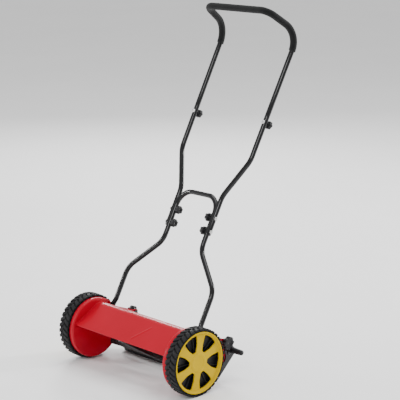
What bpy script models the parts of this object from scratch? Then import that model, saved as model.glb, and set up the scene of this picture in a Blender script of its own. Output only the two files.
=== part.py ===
"""Push reel mower: two driven wheels, a five-blade reel, a bed knife, a rear roller and a tube handle.

Run it with: blender --background --python part.py
Units are metres. The mower drives towards -Y, +X is its own left-hand side and +Z is up.
The origin is on the ground, on the middle plane, halfway along the mower's length.
Distances along Y are measured from the wheel axle, and everything is moved forwards at the end.
"""

import math

import bmesh
import bpy
from mathutils import Matrix, Vector

MM = 0.001

MIDDLE_Y = 202.2 * MM         # the middle of the mower's length, behind the axle

# Clearances
GAP = 0.3 * MM                # between pieces that are clamped or seated together
RUN = 0.25 * MM               # radial play of a shaft that turns in a hole, over its flats
SIDE_PLAY = 1.0 * MM          # end play of a turning piece
REEL_END = 11.5 * MM          # from the blades' ends to the side plates
DRUM_RUN = 2.5 * MM           # from a side plate's drum to its wheel
ROLLER_END = 8.3 * MM         # from the roller's ends to its brackets
FOOT_END = 11.1 * MM          # from the handle's legs, above their feet, to the side plates

# Sizes that most of the mower is set from
WHEEL_R = 101.0 * MM          # the axle stands this high, and the frame is placed from it
REEL_HALF = 190.0 * MM        # half the cutting width

# Wheels
TYRE_W = 40.5 * MM
TYRE_T = 9.0 * MM
LUG_H = 3.6 * MM              # depth of the tread grooves
RIM_WALL = 3.5 * MM
WEB_T = 3.0 * MM
HUB_R = 15.0 * MM
AXLE_R = 7.5 * MM
LUGS = 36
ROUND = 32                    # sides of the wheel's round pieces

# Wheel cover
COVER_T = 3.0 * MM
COVER_DISH = 6.0 * MM         # how far the face lies behind the cover's rim
COVER_RIM_W = 4.2 * MM
COVER_BOSS_R = 27.0 * MM
COVER_BOSS_H = 1.5 * MM
WINDOWS = 6
WINDOW_IN_R = 34.0 * MM
WINDOW_OUT_R = 82.0 * MM
WINDOW_SPAN = math.radians(33.0)

# Side plates
PLATE_T = 2.5 * MM
DRUM_R = 93.5 * MM
DRUM_DEPTH = 16.5 * MM
DRUM_BEND_R = 5.0 * MM

# Gears
MODULE = 2.5 * MM
RING_TEETH = 60
PINION_TEETH = 12
GEAR_W = 12.0 * MM
PRESSURE = math.radians(20.0)
BACKLASH = 0.45 * MM

# Reel
REEL_R = 48.0 * MM
BLADE_H = 16.0 * MM
BLADE_T = 3.0 * MM
BLADES = 5
BLADE_TWIST = math.radians(68.0)
SHAFT_R = 8.0 * MM
JOURNAL_R = 6.0 * MM
REEL_ANGLE = math.radians(-12.0)   # direction of the reel axis, seen from the wheel axle
SPIDERS = 3
SPIDER_END = 40.0 * MM        # from an outer spider's middle to the blades' ends
SPIDER_T = 4.0 * MM
BEARING_R = 14.0 * MM

# Bed knife
KNIFE_T = 3.0 * MM
KNIFE_W = 27.0 * MM
KNIFE_GAP = 0.4 * MM
BED_BAR_T = 8.0 * MM
BED_PIN_R = 6.0 * MM
LUG_T = 4.0 * MM

# Deck cover
SHEET_T = 2.0 * MM
DECK_FRONT = (-82.0 * MM, WHEEL_R + 26.6 * MM)
DECK_SLOPE = math.radians(30.2)
DECK_PANEL = 96.0 * MM
DECK_CREST_R = 31.0 * MM
DECK_REAR_SLOPE = math.radians(-38.0)
DECK_HEM = 7.0 * MM

TIE_ROD_R = 5.0 * MM
RIVET_R = 3.5 * MM

# Rear roller and its height adjustment
ROLLER_R = 16.0 * MM
ROLLER_SHAFT_R = 5.0 * MM
ROLLER_Y = 119.0 * MM
BRACKET_T = 4.0 * MM
STUD_R = 4.0 * MM
KNOB_POINT = (159.0 * MM, WHEEL_R + 13.0 * MM)
SCREW_POINT = (168.5 * MM, WHEEL_R - 21.0 * MM)
TRAVEL_UP = 3.0 * MM          # of the roller, from where it stands
TRAVEL_DOWN = 13.0 * MM
PEG_R = 10.0 * MM
PEG_L = 42.0 * MM
HEIGHT_KNOB_R = 21.0 * MM
HEIGHT_KNOB_T = 14.0 * MM

# Handle
TUBE_R = 8.0 * MM
TUBE_WALL = 1.2 * MM
HINGE = (56.0 * MM, WHEEL_R + 51.0 * MM)
HANDLE_ANGLE = math.radians(61.6)
FOOT_W = 22.0 * MM
FOOT_T = 6.0 * MM
HOOP_X = 84.0 * MM
HOOP_LOW = 139.0 * MM         # distances along the handle, from its hinge
HOOP_BEND = 247.0 * MM
HOOP_TOP = 416.0 * MM
LAP_X = 6.0 * MM              # between the centre lines of the hoop and a mid tube
MID_START = 296.0 * MM
MID_BEND = 421.0 * MM
MID_OUT = 545.0 * MM
GRIP_X = 150.0 * MM
SEAM = 690.0 * MM
SPIGOT_L = 48.0 * MM
UPPER_X = 155.0 * MM
UPPER_BEND = 962.0 * MM
GRIP_START = 905.0 * MM
CROSSBAR_X = 131.0 * MM
CROSSBAR = (403.0 * MM, WHEEL_R + 971.0 * MM)
FOAM_T = 3.5 * MM
LAP_BOLTS = (308.0 * MM, 351.0 * MM)
TOP_BOLT = 669.0 * MM
BOLT_R = 3.0 * MM
KNOB_R = 13.0 * MM
KNOB_L = 16.5 * MM

# Places that follow from the sizes above
AXLE = Vector((0.0, WHEEL_R))
CENTRES = MODULE * (RING_TEETH - PINION_TEETH) / 2
REEL = AXLE + CENTRES * Vector((math.cos(REEL_ANGLE), math.sin(REEL_ANGLE)))
PLATE_IN = REEL_HALF + REEL_END     # faces, from the middle plane
PLATE_OUT = PLATE_IN + PLATE_T
WHEEL_IN = PLATE_IN + DRUM_DEPTH + DRUM_RUN
WHEEL_OUT = WHEEL_IN + TYRE_W
TYRE_FLOOR_R = WHEEL_R - LUG_H
RIM_R = WHEEL_R - TYRE_T
GEAR_IN = WHEEL_IN + 1.5 * MM
GEAR_OUT = GEAR_IN + GEAR_W
WEB_IN = GEAR_OUT + 3.0 * MM
COVER_IN = WHEEL_OUT - COVER_DISH - COVER_T
RIM_OUT = COVER_IN - 2.4 * MM
BRACKET_IN = PLATE_OUT + GAP
BRACKET_OUT = BRACKET_IN + BRACKET_T
ROLLER_HALF = BRACKET_IN - ROLLER_END
SPIDER_PITCH = 2 * (REEL_HALF - SPIDER_END) / (SPIDERS - 1)
FOOT_X = PLATE_IN - FOOT_END
MID_X = HOOP_X + LAP_X
FOAM_R = TUBE_R + FOAM_T
ROLLER = Vector((ROLLER_Y, ROLLER_R))
SLIDE = Vector((KNOB_POINT[0] - SCREW_POINT[0], KNOB_POINT[1] - SCREW_POINT[1])).normalized()
SLOT_TOP = Vector(KNOB_POINT) + SLIDE * TRAVEL_UP
SLOT_LOW = Vector(SCREW_POINT) - SLIDE * TRAVEL_DOWN
BED_PIVOT = REEL + Vector((39.3 * MM, -16.5 * MM))
KNIFE_ANGLE = math.radians(8.0)
KNIFE_EDGE = REEL + (REEL_R + KNIFE_GAP) * Vector((math.sin(KNIFE_ANGLE), -math.cos(KNIFE_ANGLE)))
FRONT_ROD = Vector(DECK_FRONT) + Vector((14.0 * MM, -1.2 * MM))
REAR_ROD = AXLE + Vector((120.0 * MM, 17.0 * MM))
ALONG = Vector((0.0, math.cos(HANDLE_ANGLE), math.sin(HANDLE_ANGLE)))
ACROSS = Vector((0.0, math.sin(HANDLE_ANGLE), -math.cos(HANDLE_ANGLE)))

COLOURS = {
    "red_paint": ((0.62, 0.03, 0.04), 0.25, 0.0),
    "yellow_plastic": ((0.90, 0.66, 0.03), 0.40, 0.0),
    "black_plastic": ((0.025, 0.025, 0.028), 0.50, 0.0),
    "tyre_rubber": ((0.03, 0.03, 0.03), 0.75, 0.0),
    "black_paint": ((0.015, 0.015, 0.017), 0.22, 0.0),
    "foam": ((0.035, 0.037, 0.038), 0.90, 0.0),
    "zinc": ((0.62, 0.63, 0.64), 0.30, 1.0),
    "blade_steel": ((0.35, 0.35, 0.36), 0.35, 1.0),
    "cast_iron": ((0.05, 0.05, 0.055), 0.60, 0.6),
}


# ---------------------------------------------------------------- tools

def clear_scene():
    for obj in list(bpy.data.objects):
        bpy.data.objects.remove(obj)


def material(name):
    found = bpy.data.materials.get(name)
    if found:
        return found
    colour, roughness, metallic = COLOURS[name]
    made = bpy.data.materials.new(name)
    made.use_nodes = True
    shader = made.node_tree.nodes["Principled BSDF"]
    shader.inputs["Base Color"].default_value = (*colour, 1.0)
    shader.inputs["Roughness"].default_value = roughness
    shader.inputs["Metallic"].default_value = metallic
    made.diffuse_color = (*colour, 1.0)
    return made


def finish(name, bm, slot=None):
    """Turns a bmesh into an object whose faces point out and whose round sides are shaded smooth."""
    bmesh.ops.recalc_face_normals(bm, faces=bm.faces)
    mesh = bpy.data.meshes.new(name)
    bm.to_mesh(mesh)
    bm.free()
    mesh.shade_smooth()
    mesh.set_sharp_from_angle(angle=math.radians(35))
    obj = bpy.data.objects.new(name, mesh)
    bpy.context.scene.collection.objects.link(obj)
    if slot:
        mesh.materials.append(material(slot))
    return obj


def helper(obj):
    """Marks an object as a cutter or a tool that isn't part of the mower."""
    obj.hide_render = True
    obj.display_type = "WIRE"
    return obj


def boolean(target, other, operation="DIFFERENCE"):
    modifier = target.modifiers.new(other.name, "BOOLEAN")
    modifier.operation = operation
    modifier.object = helper(other)
    modifier.solver = "EXACT"


def loft(bm, rings, close_path=False, caps=True):
    """Joins rings of points into a skin. A ring of one point closes its end."""
    made = [[bm.verts.new(point) for point in ring] for ring in rings]
    pairs = list(zip(made, made[1:]))
    if close_path:
        pairs.append((made[-1], made[0]))
    for one, two in pairs:
        count = max(len(one), len(two))
        for i in range(count):
            j = (i + 1) % count
            corners = [one[i % len(one)], one[j % len(one)], two[j % len(two)], two[i % len(two)]]
            bm.faces.new(list(dict.fromkeys(corners)))
    if caps and not close_path:
        for ring in (made[0], made[-1]):
            if len(ring) > 2:
                bm.faces.new(ring)
    return made


def turned_mesh(bm, profile, steps, lobes=0, lobe_depth=0.0, closed=False):
    """A profile of (x, r) turned about the X axis. Lobes scallop the rings that carry a third value, True."""
    rings = []
    for x, r, *lobed in profile:
        if r == 0:
            rings.append([Vector((x, 0, 0))])
            continue
        ring = []
        for k in range(steps):
            a = 2 * math.pi * k / steps
            dip = lobe_depth * (1 - math.cos(lobes * a)) / 2 if lobed and lobed[0] else 0.0
            ring.append(Vector((x, (r - dip) * math.cos(a), (r - dip) * math.sin(a))))
        rings.append(ring)
    loft(bm, rings, close_path=closed)


def turned(name, profile, at, slot=None, side=1, steps=24, closed=False, **lobes):
    """A turned piece whose axis is parallel to X, through at = (y, z)."""
    bm = bmesh.new()
    turned_mesh(bm, [(side * x, *rest) for x, *rest in profile], steps, closed=closed, **lobes)
    obj = finish(name, bm, slot)
    obj.location = (0.0, at[0], at[1])
    return obj


def prism_mesh(bm, outline, x0, x1):
    loft(bm, [[Vector((x, y, z)) for y, z in outline] for x in (x0, x1)])


def prism(name, outline, x0, x1, slot=None, side=1):
    """An outline of (y, z) points, extruded along X."""
    bm = bmesh.new()
    prism_mesh(bm, outline, side * x0, side * x1)
    return finish(name, bm, slot)


def holes(name, spots, x0, x1, side=1, steps=16):
    """A cutter of round bars along X. Spots are (y, z, radius)."""
    bm = bmesh.new()
    for y, z, r in spots:
        ring = [(y + r * math.cos(a), z + r * math.sin(a))
                for a in (2 * math.pi * k / steps for k in range(steps))]
        prism_mesh(bm, ring, side * x0, side * x1)
    return finish(name, bm)


def arc(centre, radius, start, end, steps):
    """Points of an arc, in degrees."""
    return [(centre[0] + radius * math.cos(math.radians(start + (end - start) * i / steps)),
             centre[1] + radius * math.sin(math.radians(start + (end - start) * i / steps)))
            for i in range(steps + 1)]


def rounded(corners, steps=5):
    """A closed outline whose corners (y, z, radius) are rounded."""
    outline = []
    count = len(corners)
    for i, (y, z, radius) in enumerate(corners):
        here = Vector((y, z))
        before = (Vector(corners[i - 1][:2]) - here).normalized()
        after = (Vector(corners[(i + 1) % count][:2]) - here).normalized()
        half = before.angle(after) / 2
        centre = here + (before + after).normalized() * radius / math.sin(half)
        first = here + before * radius / math.tan(half) - centre
        last = here + after * radius / math.tan(half) - centre
        turn = first.angle_signed(last)
        for k in range(steps + 1):
            spot = centre + first @ Matrix.Rotation(turn * k / steps, 2)
            outline.append((spot.x, spot.y))
    return outline


def filleted(points, radii, steps=6):
    """A path through points whose inner corners are rounded to the radii."""
    path = [points[0].copy()]
    for before, here, after, radius in zip(points, points[1:], points[2:], radii):
        one = (before - here).normalized()
        two = (after - here).normalized()
        half = one.angle(two) / 2
        centre = here + (one + two).normalized() * radius / math.sin(half)
        first = here + one * radius / math.tan(half) - centre
        last = here + two * radius / math.tan(half) - centre
        axis = first.cross(last).normalized()
        turn = first.angle(last)
        for k in range(steps + 1):
            path.append(centre + Matrix.Rotation(turn * k / steps, 3, axis) @ first)
    path.append(points[-1].copy())
    return path


def sweep(name, path, sections, slot=None, steps=8):
    """A skin along a path. Sections are (half size in the bend's plane, half size across) at each point.

    Hollow sections are four numbers, the outer and then the inner half sizes, and give an open tube.
    """
    bm = bmesh.new()
    outer, inner = [], []
    u = Vector((1, 0, 0))
    for i, here in enumerate(path):
        tangent = (path[min(i + 1, len(path) - 1)] - path[max(i - 1, 0)]).normalized()
        u = (u - tangent * u.dot(tangent)).normalized()
        v = tangent.cross(u)
        for store, a, b in ((outer, *sections[i][:2]), (inner, *sections[i][-2:])):
            store.append([here + u * a * math.cos(t) + v * b * math.sin(t)
                          for t in (2 * math.pi * (k + 0.5) / steps for k in range(steps))])
    if len(sections[0]) == 2:
        loft(bm, outer)
    else:
        loft(bm, outer + inner[::-1], close_path=True)
    return finish(name, bm, slot)


def tube(name, path, radius, wall, slot=None, steps=8):
    return sweep(name, path, [(radius, radius, radius - wall, radius - wall)] * len(path), slot, steps)


def on_axis(name, place, objects):
    """An empty on a joint's axis, with the pieces that turn or slide there as its children."""
    empty = bpy.data.objects.new(name, None)
    empty.empty_display_size = 0.03
    empty.location = place
    bpy.context.scene.collection.objects.link(empty)
    for obj in objects:
        obj.parent = empty
        obj.location = obj.location - Vector(place)
    return empty


def label(side):
    return "left" if side > 0 else "right"


# ---------------------------------------------------------------- gears

def involute(base, radius):
    """Polar angle of an involute of a base circle, at a radius."""
    if radius <= base:
        return 0.0
    t = math.sqrt((radius / base) ** 2 - 1)
    return t - math.atan(t)


def gear_outline(teeth, root, tip, thickness, start, points=3):
    """Tooth outline round the origin, as (y, z). Thickness is the tooth's width on the pitch circle.

    For a ring gear it gives the outline of its tooth spaces, from the inner tips out to the roots.
    """
    pitch = MODULE * teeth / 2
    base = pitch * math.cos(PRESSURE)
    half = thickness / (2 * pitch) + involute(base, pitch)
    outline = []
    for tooth in range(teeth):
        middle = start + 2 * math.pi * tooth / teeth
        radii = [root + (tip - root) * i / (points - 1) for i in range(points)]
        angles = [half - involute(base, r) for r in radii]
        flank = [(r, middle - a) for r, a in zip(radii, angles)]
        flank += [(r, middle + a) for r, a in zip(radii[::-1], angles[::-1])]
        outline += [(r * math.cos(a), r * math.sin(a)) for r, a in flank]
    return outline


PITCH_ARC = math.pi * MODULE / 2


# ---------------------------------------------------------------- wheels

def tyre_outline():
    """Tread lugs with a flat top each; one lug stands flat on the ground."""
    outline = []
    pitch = 2 * math.pi / LUGS
    for lug in range(LUGS):
        middle = -math.pi / 2 + lug * pitch
        for radius, part in ((TYRE_FLOOR_R, -0.36), (WHEEL_R, -0.27), (WHEEL_R, 0.27), (TYRE_FLOOR_R, 0.36)):
            lift = radius / math.cos(0.27 * pitch) if radius == WHEEL_R else radius
            angle = middle + part * pitch
            outline.append((lift * math.cos(angle), lift * math.sin(angle)))
    return outline


def make_tyre(side):
    name = "tyre_" + label(side)
    obj = prism(name, tyre_outline(), WHEEL_IN, WHEEL_OUT - GAP, "tyre_rubber", side)
    obj.location = (0, *AXLE)
    bore = holes("bore_" + name, [(*AXLE, RIM_R + GAP)], WHEEL_IN - MM, WHEEL_OUT + MM, side, ROUND)
    boolean(obj, bore)
    return obj


def make_wheel_core(side):
    """Rim, web and hub in one moulding, with the ring gear cut inside its inner half."""
    name = "wheel_core_" + label(side)
    hub_in = PLATE_OUT + 6 * MM
    rim_in = RIM_R - RIM_WALL
    profile = [
        (WHEEL_IN, 0), (WHEEL_IN, RIM_R), (RIM_OUT, RIM_R), (RIM_OUT, rim_in), (WEB_IN + WEB_T, rim_in),
        (WEB_IN + WEB_T, HUB_R), (COVER_IN - 7 * MM, HUB_R), (COVER_IN - 7 * MM, 0),
    ]
    obj = turned(name, profile, AXLE, "black_plastic", side, ROUND)
    pitch = MODULE * RING_TEETH / 2
    spaces = prism("spaces_" + name, gear_outline(
        RING_TEETH, pitch - 1.7 * MM, pitch + 3.1 * MM, PITCH_ARC + BACKLASH, REEL_ANGLE, 2),
        WHEEL_IN - MM, WEB_IN, None, side)
    spaces.location = (0, *AXLE)
    boolean(obj, spaces)
    hub = turned("hub_" + name, [(hub_in, 0), (hub_in, HUB_R), (WEB_IN + MM, HUB_R), (WEB_IN + MM, 0)],
                 AXLE, None, side, ROUND)
    boolean(obj, hub, "UNION")
    boolean(obj, holes("bore_" + name, [(*AXLE, AXLE_R + RUN)], hub_in - MM, COVER_IN, side))
    return obj


def window_outline(middle):
    """A leaf with a broad end at the rim, bowed sides and a blunt inner tip set a little to one side."""
    half = WINDOW_SPAN / 2
    bow = (WINDOW_IN_R + WINDOW_OUT_R) / 2 - 2 * MM
    points = [(WINDOW_IN_R, middle - 0.05, 4.0 * MM), (bow, middle - half, 30.0 * MM),
              (WINDOW_OUT_R, middle - half, 4.0 * MM), (WINDOW_OUT_R + 2.4 * MM, middle, 60.0 * MM),
              (WINDOW_OUT_R, middle + half, 4.0 * MM), (bow, middle + half * 1.05, 30.0 * MM),
              (WINDOW_IN_R, middle + 0.16, 4.0 * MM)]
    return rounded([(r * math.cos(a), r * math.sin(a), f) for r, a, f in points], 3)


def make_wheel_cover(side):
    name = "wheel_cover_" + label(side)
    face = COVER_IN + COVER_T
    edge = RIM_R - GAP
    inner = edge - COVER_RIM_W
    profile = [
        (COVER_IN, 0), (COVER_IN, inner - 3 * MM), (RIM_OUT + GAP, inner), (RIM_OUT + GAP, edge),
        (WHEEL_OUT, edge - MM), (WHEEL_OUT, inner + MM),
        (face, inner - 3 * MM), (face, COVER_BOSS_R + 2 * MM), (face + COVER_BOSS_H, COVER_BOSS_R),
        (face + COVER_BOSS_H, 0),
    ]
    obj = turned(name, profile, AXLE, "yellow_plastic", side, ROUND)
    bm = bmesh.new()
    for k in range(WINDOWS):
        middle = math.radians(-8.0) + 2 * math.pi * k / WINDOWS
        prism_mesh(bm, window_outline(middle), side * (COVER_IN - 3 * MM), side * (WHEEL_OUT + MM))
    cutter = finish("windows_" + name, bm)
    cutter.location = (0, *AXLE)
    boolean(obj, cutter)
    return obj


def make_stub_axle(side):
    end = COVER_IN - 2 * MM
    shoulder = COVER_IN - 7 * MM + SIDE_PLAY
    profile = [
        (PLATE_IN - 3 * MM, 0), (PLATE_IN - 3 * MM, 11 * MM), (PLATE_IN - GAP, 11 * MM),
        (PLATE_IN - GAP, AXLE_R), (PLATE_OUT + GAP, AXLE_R), (PLATE_OUT + GAP, 18 * MM),
        (PLATE_OUT + 5 * MM, 18 * MM), (PLATE_OUT + 5 * MM, AXLE_R), (shoulder, AXLE_R),
        (shoulder, 5 * MM), (end, 5 * MM), (end, 0),
    ]
    return turned("stub_axle_" + label(side), profile, AXLE, "zinc", side, 16)


def make_axle_nut(side):
    inner = COVER_IN - 7 * MM + SIDE_PLAY + GAP
    outline = [(10 * MM * math.cos(math.radians(60 * k)), 10 * MM * math.sin(math.radians(60 * k)))
               for k in range(6)]
    obj = prism("axle_nut_" + label(side), outline, inner, inner + 4.5 * MM, "zinc", side)
    obj.location = (0, *AXLE)
    boolean(obj, holes("bore_nut_" + label(side), [(*AXLE, 5 * MM + GAP)], inner - MM, inner + 6 * MM, side))
    return obj


# ---------------------------------------------------------------- frame

def make_side_plate(side):
    """A pressed cup that covers the wheel's gears, with a flat tail for the roller brackets."""
    name = "side_plate_" + label(side)
    flat = DRUM_R - DRUM_BEND_R
    outer_bend = arc((PLATE_IN + DRUM_BEND_R, flat), DRUM_BEND_R, 180, 90, 2)
    inner_bend = arc((PLATE_IN + DRUM_BEND_R, flat), DRUM_BEND_R - PLATE_T, 90, 180, 2)
    rim = PLATE_IN + DRUM_DEPTH
    profile = [(PLATE_IN, 0)] + outer_bend
    profile += [(rim, DRUM_R), (rim, DRUM_R - PLATE_T)] + inner_bend + [(PLATE_OUT, 0)]
    obj = turned(name, profile, AXLE, "red_paint", side, 40)
    tail = prism("tail_" + name, rounded([
        (40 * MM, AXLE.y + 39 * MM, 10 * MM), (70 * MM, AXLE.y + 56 * MM, 8 * MM),
        (SLOT_TOP.x - 8 * MM, SLOT_TOP.y + 9.5 * MM, 6 * MM),
        (SLOT_TOP.x + 8.5 * MM, SLOT_TOP.y + 7 * MM, 6 * MM),
        (SLOT_LOW.x + 12 * MM, SLOT_LOW.y - 9 * MM, 10 * MM),
        (SLOT_LOW.x - 12 * MM, SLOT_LOW.y - 18 * MM, 10 * MM),
        (84 * MM, AXLE.y - 50 * MM, 8 * MM), (40 * MM, AXLE.y - 31 * MM, 10 * MM)]),
        PLATE_IN, PLATE_OUT, None, side)
    boolean(obj, tail, "UNION")
    boolean(obj, slot_cutter("slot_" + name, side))
    cutter = holes("holes_" + name, [
        (*AXLE, AXLE_R + GAP), (*REEL, BEARING_R + GAP), (*FRONT_ROD, RIVET_R + GAP),
        (*REAR_ROD, RIVET_R + GAP), (*BED_PIVOT, BED_PIN_R + RUN), (*HINGE, STUD_R + GAP)],
        PLATE_IN - 5 * MM, PLATE_OUT + 2 * MM, side)
    boolean(obj, cutter)
    return obj


def slot_cutter(name, side):
    """The slot that the roller bracket's studs slide in."""
    half = STUD_R + GAP
    across = Vector((SLIDE.y, -SLIDE.x)) * half
    top = SLOT_TOP + SLIDE * half
    low = SLOT_LOW - SLIDE * half
    corners = [(*(top - across), half * 0.98), (*(top + across), half * 0.98),
               (*(low + across), half * 0.98), (*(low - across), half * 0.98)]
    return prism(name, rounded(corners, 3), PLATE_IN - 5 * MM, PLATE_OUT + 2 * MM, None, side)


def deck_line(offset):
    """The deck's outline in (y, z), moved inwards by the offset."""
    y, z = DECK_FRONT
    normal = Vector((math.sin(DECK_SLOPE), -math.cos(DECK_SLOPE)))
    hem = Vector((y, z)) + normal * offset
    end = Vector((y, z)) + DECK_PANEL * Vector((math.cos(DECK_SLOPE), math.sin(DECK_SLOPE)))
    centre = end + normal * DECK_CREST_R
    crest = arc(centre, DECK_CREST_R - offset, 90 + math.degrees(DECK_SLOPE),
                90 + math.degrees(DECK_REAR_SLOPE), 8)
    return [(hem.x, hem.y)] + crest


def make_deck_cover():
    """A folded sheet between the side plates, with a hem turned back along its front edge."""
    outer = deck_line(0.0)
    inner = deck_line(SHEET_T)
    y, z = outer[0]
    hem = [(y + DECK_HEM, z - 1.2 * MM), (y + DECK_HEM, z + 0.8 * MM)]
    outline = outer + inner[:0:-1] + [(inner[0][0] + 1.6 * MM, inner[0][1] + 2.2 * MM)] + hem[::-1]
    return prism("deck_cover", outline, PLATE_IN - GAP, GAP - PLATE_IN, "red_paint")


def make_tie_rod(name, at):
    half = [
        (0, TIE_ROD_R), (PLATE_IN - GAP, TIE_ROD_R), (PLATE_IN - GAP, RIVET_R),
        (PLATE_OUT + GAP, RIVET_R), (PLATE_OUT + GAP, 6 * MM), (PLATE_OUT + 1.8 * MM, 5.4 * MM),
        (PLATE_OUT + 2.5 * MM, 3 * MM), (PLATE_OUT + 2.5 * MM, 0),
    ]
    profile = [(-x, r) for x, r in half[:0:-1]] + half[1:]
    return turned(name, profile, at, "black_paint", 1, 16)


# ---------------------------------------------------------------- reel

def blade_angle(index, x):
    return 2 * math.pi * index / BLADES + BLADE_TWIST * x / (2 * REEL_HALF)


def make_blade(index, stations=18):
    """A flat strip on edge, wound in a shallow helix round the reel shaft."""
    bm = bmesh.new()
    rings = []
    for i in range(stations + 1):
        x = -REEL_HALF + 2 * REEL_HALF * i / stations
        angle = blade_angle(index, x)
        out = Vector((0, math.cos(angle), math.sin(angle)))
        over = Vector((0, -math.sin(angle), math.cos(angle)))
        rings.append([Vector((x, 0, 0)) + out * r + over * t for r, t in (
            (REEL_R - BLADE_H, -BLADE_T / 2), (REEL_R - BLADE_T / 2, -BLADE_T / 2),
            (REEL_R - 0.05 * MM, BLADE_T / 6), (REEL_R - 0.05 * MM, BLADE_T / 2),
            (REEL_R - BLADE_H, BLADE_T / 2))])
    loft(bm, rings)
    obj = finish(f"reel_blade_{index + 1}", bm, "blade_steel")
    obj.location = (0, *REEL)
    return obj


def make_spider(index):
    """A five-armed pressing that holds the blades; its arms follow the helix."""
    x = (index - (SPIDERS - 1) / 2) * SPIDER_PITCH
    outline = []
    reach = REEL_R - BLADE_H - GAP
    waist = SHAFT_R + 6 * MM
    for arm in range(BLADES):
        middle = blade_angle(arm, x)
        for r, part in ((waist, -0.34), (reach, -0.15), (reach, 0.15), (waist, 0.34)):
            outline.append((r * math.cos(middle + part), r * math.sin(middle + part)))
    name = f"reel_spider_{index + 1}"
    obj = prism(name, outline, x - SPIDER_T / 2, x + SPIDER_T / 2, "cast_iron")
    obj.location = (0, *REEL)
    boolean(obj, holes("bore_" + name, [(*REEL, SHAFT_R + GAP)], x - 2 * SPIDER_T, x + 2 * SPIDER_T))
    return obj


def make_reel_shaft():
    shoulder = PLATE_OUT + 9 * MM
    end = WEB_IN - SIDE_PLAY
    profile = [(-end, 0), (-end, JOURNAL_R), (-shoulder, JOURNAL_R), (-shoulder, SHAFT_R),
               (shoulder, SHAFT_R), (shoulder, JOURNAL_R), (end, JOURNAL_R), (end, 0)]
    return turned("reel_shaft", profile, REEL, "zinc", 1, 16)


def make_reel_bearing(side):
    """A flanged bush, pushed into the side plate from inside."""
    bore = SHAFT_R + RUN
    flange = PLATE_IN - GAP
    profile = [(flange - 4 * MM, bore), (flange - 4 * MM, BEARING_R + 4 * MM), (flange, BEARING_R + 4 * MM),
               (flange, BEARING_R), (PLATE_OUT + 6 * MM, BEARING_R), (PLATE_OUT + 6 * MM, bore)]
    return turned("reel_bearing_" + label(side), profile, REEL, "black_plastic", side, 16, closed=True)


def make_pinion(side):
    name = "pinion_" + label(side)
    pitch = MODULE * PINION_TEETH / 2
    outline = gear_outline(PINION_TEETH, pitch - 2.9 * MM, pitch + 2.3 * MM,
                           PITCH_ARC - BACKLASH, REEL_ANGLE, 3)
    obj = prism(name, outline, GEAR_IN - GAP, GEAR_OUT, "black_plastic", side)
    obj.location = (0, *REEL)
    bore = holes("bore_" + name, [(*REEL, JOURNAL_R + RUN)], GEAR_IN - 2 * MM, GEAR_OUT + 2 * MM, side)
    boolean(obj, bore)
    return obj


# ---------------------------------------------------------------- bed knife

def make_bed_bar():
    """The bar under the knife, with a lug at each end that hangs on a pin in the side plate."""
    y, top = KNIFE_EDGE[0] + 5 * MM, KNIFE_EDGE[1] - KNIFE_T - GAP
    lug_out = PLATE_IN - SIDE_PLAY
    lug_in = lug_out - LUG_T
    width = KNIFE_W - 5 * MM
    bar = [(y, top), (y + width, top), (y + width, top - BED_BAR_T), (y + 4 * MM, top - BED_BAR_T)]
    obj = prism("bed_bar", bar, -lug_out, lug_out, "cast_iron")
    for side in (1, -1):
        lug = prism("bed_lug_" + label(side), rounded([
            (y + 6 * MM, top - BED_BAR_T + MM, 2 * MM), (BED_PIVOT.x - 9 * MM, BED_PIVOT.y + 9 * MM, 8 * MM),
            (BED_PIVOT.x + 9 * MM, BED_PIVOT.y + 9 * MM, 8 * MM),
            (y + width - MM, top - BED_BAR_T + MM, 2 * MM)]), lug_in, lug_out - 0.1 * MM, None, side)
        boolean(obj, lug, "UNION")
        pin = turned("bed_pin_" + label(side), [(lug_in + MM, 0), (lug_in + MM, BED_PIN_R),
                     (PLATE_OUT + 1.5 * MM, BED_PIN_R), (PLATE_OUT + 1.5 * MM, 0)], BED_PIVOT, None, side, 16)
        boolean(obj, pin, "UNION")
    return obj


def make_bed_knife():
    y, top = KNIFE_EDGE
    half = REEL_HALF + 4 * MM
    outline = [(y, top), (y + KNIFE_W, top), (y + KNIFE_W, top - KNIFE_T), (y + 2.5 * MM, top - KNIFE_T),
               (y, top - 1 * MM)]
    return prism("bed_knife", outline, -half, half, "blade_steel")


# ---------------------------------------------------------------- roller

def make_roller_bracket(side):
    """A strap that slides along the side plate's slot and carries the roller's shaft at its foot."""
    name = "roller_bracket_" + label(side)
    screw = Vector(SCREW_POINT)
    top = Vector(KNOB_POINT) + SLIDE * 13 * MM
    wide = Vector((SLIDE.y, -SLIDE.x)) * 12 * MM
    leg = (ROLLER - screw).normalized()
    leg_wide = Vector((-leg.y, leg.x)) * 10 * MM
    foot = ROLLER + leg * 10 * MM
    corners = [(*(top - wide), 8 * MM), (*(top + wide), 8 * MM),
               (*(screw + SLIDE * 16 * MM + wide), 12 * MM),
               (*(screw + SLIDE * 8 * MM + 2.2 * wide), 8 * MM),
               (*(screw - SLIDE * 12 * MM + 2.2 * wide), 8 * MM),
               (*(foot + leg_wide), 9.5 * MM), (*(foot - leg_wide), 9.5 * MM),
               (*(screw - SLIDE * 14 * MM - wide), 20 * MM)]
    obj = prism(name, rounded(corners, 3), BRACKET_IN, BRACKET_OUT, "black_paint", side)
    bores = holes("bores_" + name, [(*ROLLER, RIVET_R + GAP), (*KNOB_POINT, STUD_R + GAP),
                  (*SCREW_POINT, STUD_R + GAP)], BRACKET_IN - MM, BRACKET_OUT + MM, side)
    boolean(obj, bores)
    return obj


def make_roller_shaft():
    half = [(BRACKET_IN - GAP, ROLLER_SHAFT_R), (BRACKET_IN - GAP, RIVET_R), (BRACKET_OUT + GAP, RIVET_R),
            (BRACKET_OUT + GAP, 6.5 * MM), (BRACKET_OUT + 3 * MM, 5 * MM), (BRACKET_OUT + 3 * MM, 0)]
    profile = [(-x, r) for x, r in half[::-1]] + half
    return turned("roller_shaft", profile, ROLLER, "zinc", 1, 12)


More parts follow.
